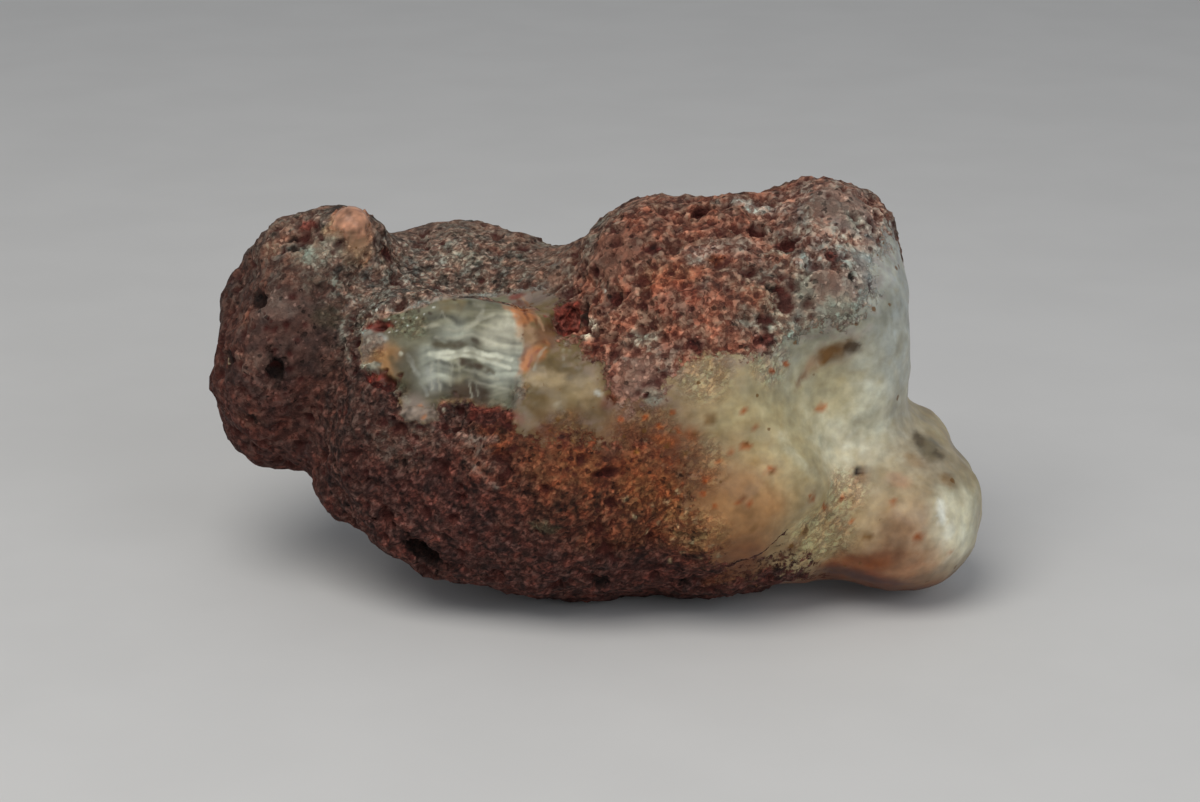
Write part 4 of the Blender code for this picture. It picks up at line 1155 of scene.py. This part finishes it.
def put(tree, kind, inputs=None, **settings):
    """Adds a node, sets it, and fills its inputs with numbers or with other nodes' outputs."""
    made = tree.nodes.new(kind)
    for name, value in settings.items():
        setattr(made, name, value)
    for name, value in (inputs or {}).items():
        if isinstance(value, bpy.types.NodeSocket):
            tree.links.new(value, made.inputs[name])
        else:
            made.inputs[name].default_value = value
    return made


def maths(tree, operation, first, second=0.0):
    return put(tree, "ShaderNodeMath", {0: first, 1: second}, operation=operation).outputs[0]


def plus(tree, first, second):
    return maths(tree, "ADD", first, second)


def minus(tree, first, second):
    return maths(tree, "SUBTRACT", first, second)


def times(tree, first, second):
    return maths(tree, "MULTIPLY", first, second)


def over(tree, first, second):
    return maths(tree, "DIVIDE", first, second)


def shifted(tree, operation, place, by):
    """A place moved by a vector, or made longer and shorter by one."""
    return put(tree, "ShaderNodeVectorMath", {0: place, 1: by}, operation=operation).outputs[0]


def ranged(tree, value, low, high, to_low=0.0, to_high=1.0):
    """A value brought from one range to another, with soft ends."""
    limits = {"Value": value, "From Min": low, "From Max": high, "To Min": to_low, "To Max": to_high}
    return put(tree, "ShaderNodeMapRange", limits, interpolation_type="SMOOTHSTEP").outputs["Result"]


def mixed(tree, factor, first, second, blend_type="MIX"):
    """One colour mixed into another."""
    inputs = {0: factor, 6: first, 7: second}
    return put(tree, "ShaderNodeMix", inputs, data_type="RGBA", blend_type=blend_type).outputs[2]


def between(tree, factor, first, second):
    """A number between two others."""
    return put(tree, "ShaderNodeMix", {0: factor, 2: first, 3: second}).outputs[0]


def scaled(tree, tint, factor):
    """A colour or a place times a number."""
    return put(tree, "ShaderNodeVectorMath", {0: tint, "Scale": factor}, operation="SCALE").outputs[0]


def uneven(tree, place, scale, detail=2.0, roughness=0.5):
    """Soft noise at a place."""
    inputs = {"Vector": place, "Scale": scale, "Detail": detail, "Roughness": roughness}
    return put(tree, "ShaderNodeTexNoise", inputs).outputs


def cells(tree, place, scale):
    """The distance to the middle of the nearest cell, and three numbers of that cell's own."""
    made = put(tree, "ShaderNodeTexVoronoi", {"Vector": place, "Scale": scale}).outputs
    return made["Distance"], put(tree, "ShaderNodeSeparateColor", {0: made["Color"]}).outputs


def stepped(tree, value, stops):
    """A colour for each value, from stops of a value and a colour."""
    ramp = put(tree, "ShaderNodeValToRGB", {0: value})
    elements = ramp.color_ramp.elements
    while len(elements) < len(stops):
        elements.new(0.5)
    for element, (at, pigment) in zip(elements, stops):
        element.position = at
        element.color = (*pigment, 1.0)
    return ramp.outputs[0]


def new_group(name, inputs, outputs):
    """A shader node group with named sockets, and its input and output nodes."""
    tree = bpy.data.node_groups.new(name, "ShaderNodeTree")
    for words, kind in inputs:
        tree.interface.new_socket(words, in_out="INPUT", socket_type="NodeSocket" + kind)
    for words, kind in outputs:
        tree.interface.new_socket(words, in_out="OUTPUT", socket_type="NodeSocket" + kind)
    return tree, tree.nodes.new("NodeGroupInput").outputs, tree.nodes.new("NodeGroupOutput").inputs


def mosaic_group():
    """Crumbly grains: the factor they give to a colour, and their height, at a place."""
    tree, given, gives = new_group(
        "grain_mosaic", (("Place", "Vector"), ("Size", "Float"), ("Contrast", "Float")),
        (("Factor", "Color"), ("Height", "Float")),
    )
    place = given["Place"]
    scale = over(tree, 1.0, given["Size"])
    bend = {0: uneven(tree, place, scale, 2.0)["Color"], 1: (0.5, 0.5, 0.5), 2: place}
    bent = put(tree, "ShaderNodeVectorMath", bend, operation="MULTIPLY_ADD").outputs[0]
    blobs = uneven(tree, bent, times(tree, scale, 1.15), 4.0, 0.62)["Fac"]
    _, own = cells(tree, bent, times(tree, scale, 1.5))
    value = plus(tree, blobs, ranged(tree, own[0], 0.0, 1.0, -CELL_SHADE, CELL_SHADE))
    patches = uneven(tree, place, times(tree, scale, 0.42), 3.0)["Fac"]
    hue = plus(tree, patches, ranged(tree, own[1], 0.0, 1.0, -CELL_HUE, CELL_HUE))
    tone = mixed(tree, 1.0, stepped(tree, value, TONES), stepped(tree, hue, HUES), "MULTIPLY")
    tone = scaled(tree, tone, 4.0)
    veins = uneven(tree, bent, times(tree, scale, 1.9), 1.0)["Fac"]
    vein = ranged(tree, maths(tree, "ABSOLUTE", minus(tree, veins, 0.5)), *VEIN_HALF)
    tone = mixed(tree, times(tree, vein, VEIN_COVER), tone, VEIN_FACTOR)
    tree.links.new(mixed(tree, given["Contrast"], PLAIN, tone), gives["Factor"])
    fine = uneven(tree, place, times(tree, scale, 4.5), 3.0, 0.7)["Fac"]
    lumps = ranged(tree, value, 0.34, 0.60, 0.0, 0.75)
    tree.links.new(plus(tree, lumps, times(tree, fine, 0.35)), gives["Height"])
    return tree


def speck_group():
    """Sparse small round spots: a mask from a place, a spacing and how many there are."""
    tree, given, gives = new_group(
        "specks", (("Place", "Vector"), ("Spacing", "Float"), ("Share", "Float"), ("Size", "Float")),
        (("Mask", "Float"),),
    )
    scale = over(tree, 1.0, given["Spacing"])
    ragged = uneven(tree, given["Place"], times(tree, scale, 4.0), 2.0)["Fac"]
    distance, own = cells(tree, given["Place"], scale)
    chosen = maths(tree, "LESS_THAN", own[1], given["Share"])
    reach = times(tree, given["Size"], plus(tree, 0.4, own[2]))
    distance = times(tree, distance, plus(tree, 0.3, times(tree, ragged, 1.4)))
    spot = ranged(tree, over(tree, distance, reach), 1.0, 0.6)
    tree.links.new(times(tree, chosen, spot), gives["Mask"])
    return tree


def cloud_group():
    """Soft uneven shade: a factor about 1 from a place, a size and a strength."""
    tree, given, gives = new_group(
        "clouds", (("Place", "Vector"), ("Size", "Float"), ("Strength", "Float")), (("Factor", "Float"),)
    )
    soft = uneven(tree, given["Place"], over(tree, 1.0, given["Size"]), 4.0)["Fac"]
    swing = times(tree, ranged(tree, soft, 0.25, 0.75, -1.0, 1.0), given["Strength"])
    tree.links.new(plus(tree, 1.0, swing), gives["Factor"])
    return tree


def in_group(tree, group, **inputs):
    return put(tree, "ShaderNodeGroup", inputs, node_tree=group).outputs


def rind_look(tree, given, groups, colours, grain):
    """The rind's colour and height, and the finer of its two kinds of grain."""
    place, tint, coarse = given["Place"], given["Rind Tint"], given["Coarse"]
    mosaic, specks = groups["grain_mosaic"], groups["specks"]
    contrast = between(tree, given["Calm"], 0.85, 0.30)
    big = in_group(tree, mosaic, Place=place, Size=grain, Contrast=contrast)
    turn = {"Vector": place, "Angle": math.radians(38.0)}
    turned = put(tree, "ShaderNodeVectorRotate", turn, rotation_type="Y_AXIS").outputs[0]
    small = in_group(
        tree, mosaic, Place=shifted(tree, "MULTIPLY", turned, (0.75, 1.0, 1.1)),
        Size=grain * 0.58, Contrast=times(tree, contrast, 0.8),
    )
    factor = mixed(tree, coarse, small["Factor"], big["Factor"])
    rind = mixed(tree, 1.0, tint, factor, "MULTIPLY")
    pores = in_group(tree, specks, Place=place, Spacing=grain * 0.8, Share=0.28, Size=0.36)["Mask"]
    rind = mixed(tree, times(tree, pores, 0.75), rind, scaled(tree, rind, 0.18))
    beside = shifted(tree, "ADD", place, (3.7, 8.3, 5.1))
    flakes = in_group(tree, specks, Place=beside, Spacing=grain * 0.65, Share=0.34, Size=0.34)["Mask"]
    rind = mixed(tree, times(tree, flakes, 0.55), rind, scaled(tree, tint, 2.7))
    rind = mixed(tree, times(tree, given["Rim"], 0.45), rind, scaled(tree, rind, 1.9))
    rind = mixed(tree, times(tree, given["Floor"], 0.9), rind, (*colours.oxblood, 1.0))
    height = between(tree, coarse, small["Height"], big["Height"])
    return rind, minus(tree, height, times(tree, pores, 0.7)), small


def chalcedony_look(tree, given, groups, colours, spacing, crumbs):
    """The chalcedony's colour, height and roughness, with crumbs where it is grainy."""
    place, grainy = given["Place"], given["Grainy"]
    clouds = in_group(tree, groups["clouds"], Place=place, Size=3.2, Strength=0.22)["Factor"]
    mottle = in_group(tree, groups["clouds"], Place=place, Size=0.9, Strength=0.15)["Factor"]
    bare = scaled(tree, given["Bare Tint"], times(tree, clouds, mottle))
    factor = mixed(tree, times(tree, grainy, 0.55), PLAIN, crumbs["Factor"])
    bare = mixed(tree, 1.0, bare, factor, "MULTIPLY")
    outer = ranged(tree, given["Depth"], -4.0, -0.3, 0.10, 0.55)
    outer = times(tree, outer, minus(tree, 1.0, given["Glass"]))
    specks = in_group(tree, groups["specks"], Place=place, Spacing=spacing, Share=outer, Size=0.22)
    bare = mixed(tree, times(tree, specks["Mask"], 0.8), bare, (*colours.sienna, 1.0))
    crumbled = times(tree, times(tree, crumbs["Height"], grainy), 0.7)
    height = plus(tree, times(tree, mottle, 0.10), crumbled)
    return bare, height, times(tree, between(tree, grainy, 0.40, 0.62), mottle)


def skin_group(groups, colours, sizes):
    """The stone's whole surface: rind or chalcedony by depth, with pits, rims and specks."""
    layers = tuple((words, kind) for words, (_, kind) in SKIN_LAYERS.items())
    tree, given, gives = new_group(
        "stone_skin", (("Place", "Vector"), *layers),
        (("Color", "Color"), ("Roughness", "Float"), ("Height", "Float"), ("Coat", "Float")),
    )
    rind, rind_height, small = rind_look(tree, given, groups, colours, sizes.grain / MM)
    bare, bare_height, smoothness = chalcedony_look(
        tree, given, groups, colours, sizes.speck / MM, small
    )
    ragged = ranged(tree, uneven(tree, given["Place"], 1.7, 5.0, 0.7)["Fac"], 0.25, 0.75, -1.0, 1.0)
    reach = between(tree, given["Soft"], 0.35, 1.5)
    depth = plus(tree, given["Depth"], times(tree, ragged, reach))
    edge = between(tree, given["Soft"], 0.14, 0.55)
    cover = ranged(tree, over(tree, depth, edge), -1.0, 1.0)
    clear = times(tree, minus(tree, 1.0, cover), minus(tree, 1.0, given["Glass"]))
    tree.links.new(mixed(tree, cover, bare, rind), gives["Color"])
    tree.links.new(between(tree, cover, smoothness, RIND_ROUGHNESS), gives["Roughness"])
    tree.links.new(between(tree, cover, bare_height, rind_height), gives["Height"])
    tree.links.new(times(tree, clear, 0.05), gives["Coat"])
    return tree


def stone_material(name, group, sizes, glow, reach, shine):
    """One finish of the skin: how much and how far light wanders in it, and how it shines."""
    material = bpy.data.materials.new(name)
    material.use_nodes = True
    tree = material.node_tree
    shader = tree.nodes["Principled BSDF"]
    given = {"Place": scaled(tree, put(tree, "ShaderNodeTexCoord").outputs["Object"], 1.0 / MM)}
    for words, (layer, kind) in SKIN_LAYERS.items():
        found = put(tree, "ShaderNodeAttribute", attribute_name=layer).outputs
        given[words] = found["Color" if kind == "Color" else "Fac"]
    skin = in_group(tree, group, **given)
    bump = put(tree, "ShaderNodeBump", {"Height": skin["Height"], "Distance": sizes.bump})
    tree.links.new(skin["Color"], shader.inputs["Base Color"])
    tree.links.new(skin["Roughness"], shader.inputs["Roughness"])
    tree.links.new(skin["Coat"], shader.inputs["Coat Weight"])
    tree.links.new(bump.outputs[0], shader.inputs["Normal"])
    shader.inputs["Subsurface Weight"].default_value = glow
    shader.inputs["Subsurface Radius"].default_value = GLOW_COLOURS
    shader.inputs["Subsurface Scale"].default_value = sizes.glow * reach
    shader.inputs["Specular IOR Level"].default_value = shine
    return material


class NODULE_OT_stone(bpy.types.Operator):
    """Works the stone's skin from the solid, paints it and gives it its materials"""

    bl_idname = "nodule.stone"
    bl_label = "Stone"

    def execute(self, context):
        sizes = context.scene.stone_sizes
        colours = context.scene.stone_colours
        stone = even_mesh(sizes)
        refine(stone)
        skin = Skin(stone.data)
        zones = Zones(skin)
        floor, rim, pits = work_relief(skin, zones, sizes)
        rind, bare = paint(skin, zones, pits, colours)
        skin.look()
        layers = {
            "rind_tint": rind, "bare_tint": bare, "rind_depth": zones.rind, "border": zones.soft,
            "coarse": zones.coarse, "grainy": zones.grainy, "pit_floor": floor, "pit_rim": rim,
            "glass": smooth(zones.window, -0.2, 0.3), "calm": zones.calm,
        }
        for name, values in layers.items():
            store(stone.data, name, values)
        groups = {tree.name: tree for tree in (mosaic_group(), speck_group(), cloud_group())}
        group = skin_group(groups, colours, sizes)
        for finish in FINISHES:
            stone.data.materials.append(stone_material(finish[0], group, sizes, *finish[1:]))
        first = skin.first_corners()
        kinds = np.where(zones.rind[first] > 0.2, 0, np.where(zones.window[first] > 0.0, 2, 1))
        stone.data.polygons.foreach_set("material_index", kinds.astype(np.int32))
        stone.data.shade_smooth()
        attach(stone, "root")
        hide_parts(NODE)
        return {"FINISHED"}


def soft_light(name, place, size, power, tint):
    """A round light that looks at the stone."""
    light = bpy.data.lights.new(name, "AREA")
    light.shape = "DISK"
    light.size = size
    light.energy = power
    light.color = tint
    lamp = bpy.data.objects.new(name, light)
    lamp.location = place
    lamp.rotation_euler = (SIGHT * MM - Vector(place)).to_track_quat("-Z", "Y").to_euler()
    bpy.context.scene.collection.objects.link(lamp)


class NODULE_OT_stage(bpy.types.Operator):
    """Makes the floor, the soft studio light and the camera at the front side"""

    bl_idname = "nodule.stage"
    bl_label = "Stage"

    def execute(self, context):
        stage = context.scene.nodule_stage
        bpy.ops.mesh.primitive_plane_add(size=FLOOR_SIZE)
        floor = context.object
        floor.name = "floor"
        floor.data.materials.append(self.floor_material(stage))
        self.world(context.scene, stage)
        for name, place, size, tint in LIGHTS:
            soft_light(name, place, size, getattr(stage, name), tint)
        self.camera(context.scene, stage)
        context.scene.view_settings.view_transform = "Standard"
        return {"FINISHED"}

    def camera(self, scene, stage):
        camera = bpy.data.cameras.new("camera")
        camera.sensor_width = FRAME_WIDTH
        camera.lens = stage.lens
        camera.clip_start = NEAREST_SEEN
        eye = bpy.data.objects.new("camera", camera)
        back, _, _ = side_axes(FRONT)
        eye.location = (SIGHT + back * SIGHT_DISTANCE) * MM
        eye.rotation_euler = (-back).to_track_quat("-Z", "Y").to_euler()
        scene.collection.objects.link(eye)
        scene.camera = eye

    def floor_material(self, stage):
        material = bpy.data.materials.new("floor_paper")
        material.use_nodes = True
        tree = material.node_tree
        shader = tree.nodes["Principled BSDF"]
        place = put(tree, "ShaderNodeTexCoord").outputs["Object"]
        fleck = ranged(tree, uneven(tree, place, 60.0, 6.0)["Fac"], 0.3, 0.7, 0.98, 1.01)
        tree.links.new(scaled(tree, tuple(stage.floor), fleck), shader.inputs["Base Color"])
        shader.inputs["Roughness"].default_value = 0.9
        shader.inputs["Specular IOR Level"].default_value = 0.2
        return material

    def world(self, scene, stage):
        world = bpy.data.worlds.new("studio")
        world.use_nodes = True
        air = world.node_tree.nodes["Background"]
        air.inputs["Color"].default_value = (*stage.sky, 1.0)
        air.inputs["Strength"].default_value = stage.air
        scene.world = world


class NODULE_PT_panel(bpy.types.Panel):
    """The nodule's sizes, colours and steps"""

    bl_label = "Agate nodule"
    bl_idname = "NODULE_PT_panel"
    bl_space_type = "VIEW_3D"
    bl_region_type = "UI"
    bl_category = "Agate"

    def draw(self, context):
        for operator in (NODULE_OT_stone, NODULE_OT_stage):
            self.layout.operator(operator.bl_idname)
        scene = context.scene
        for group in (scene.stone_sizes, scene.stone_colours, scene.nodule_stage):
            box = self.layout.box()
            for name in group.bl_rna.properties.keys():
                if name not in ("rna_type", "name"):
                    box.prop(group, name)


CLASSES = (
    StoneColours, StoneSizes, StageSettings, NODULE_OT_stone, NODULE_OT_stage, NODULE_PT_panel,
)


def register():
    for cls in CLASSES:
        bpy.utils.register_class(cls)
    bpy.types.Scene.stone_colours = PointerProperty(type=StoneColours)
    bpy.types.Scene.stone_sizes = PointerProperty(type=StoneSizes)
    bpy.types.Scene.nodule_stage = PointerProperty(type=StageSettings)


def unregister():
    del bpy.types.Scene.nodule_stage
    del bpy.types.Scene.stone_sizes
    del bpy.types.Scene.stone_colours
    for cls in reversed(CLASSES):
        bpy.utils.unregister_class(cls)


def main():
    register()
    bpy.ops.nodule.stone()
    bpy.ops.nodule.stage()


if __name__ == "__main__":
    main()
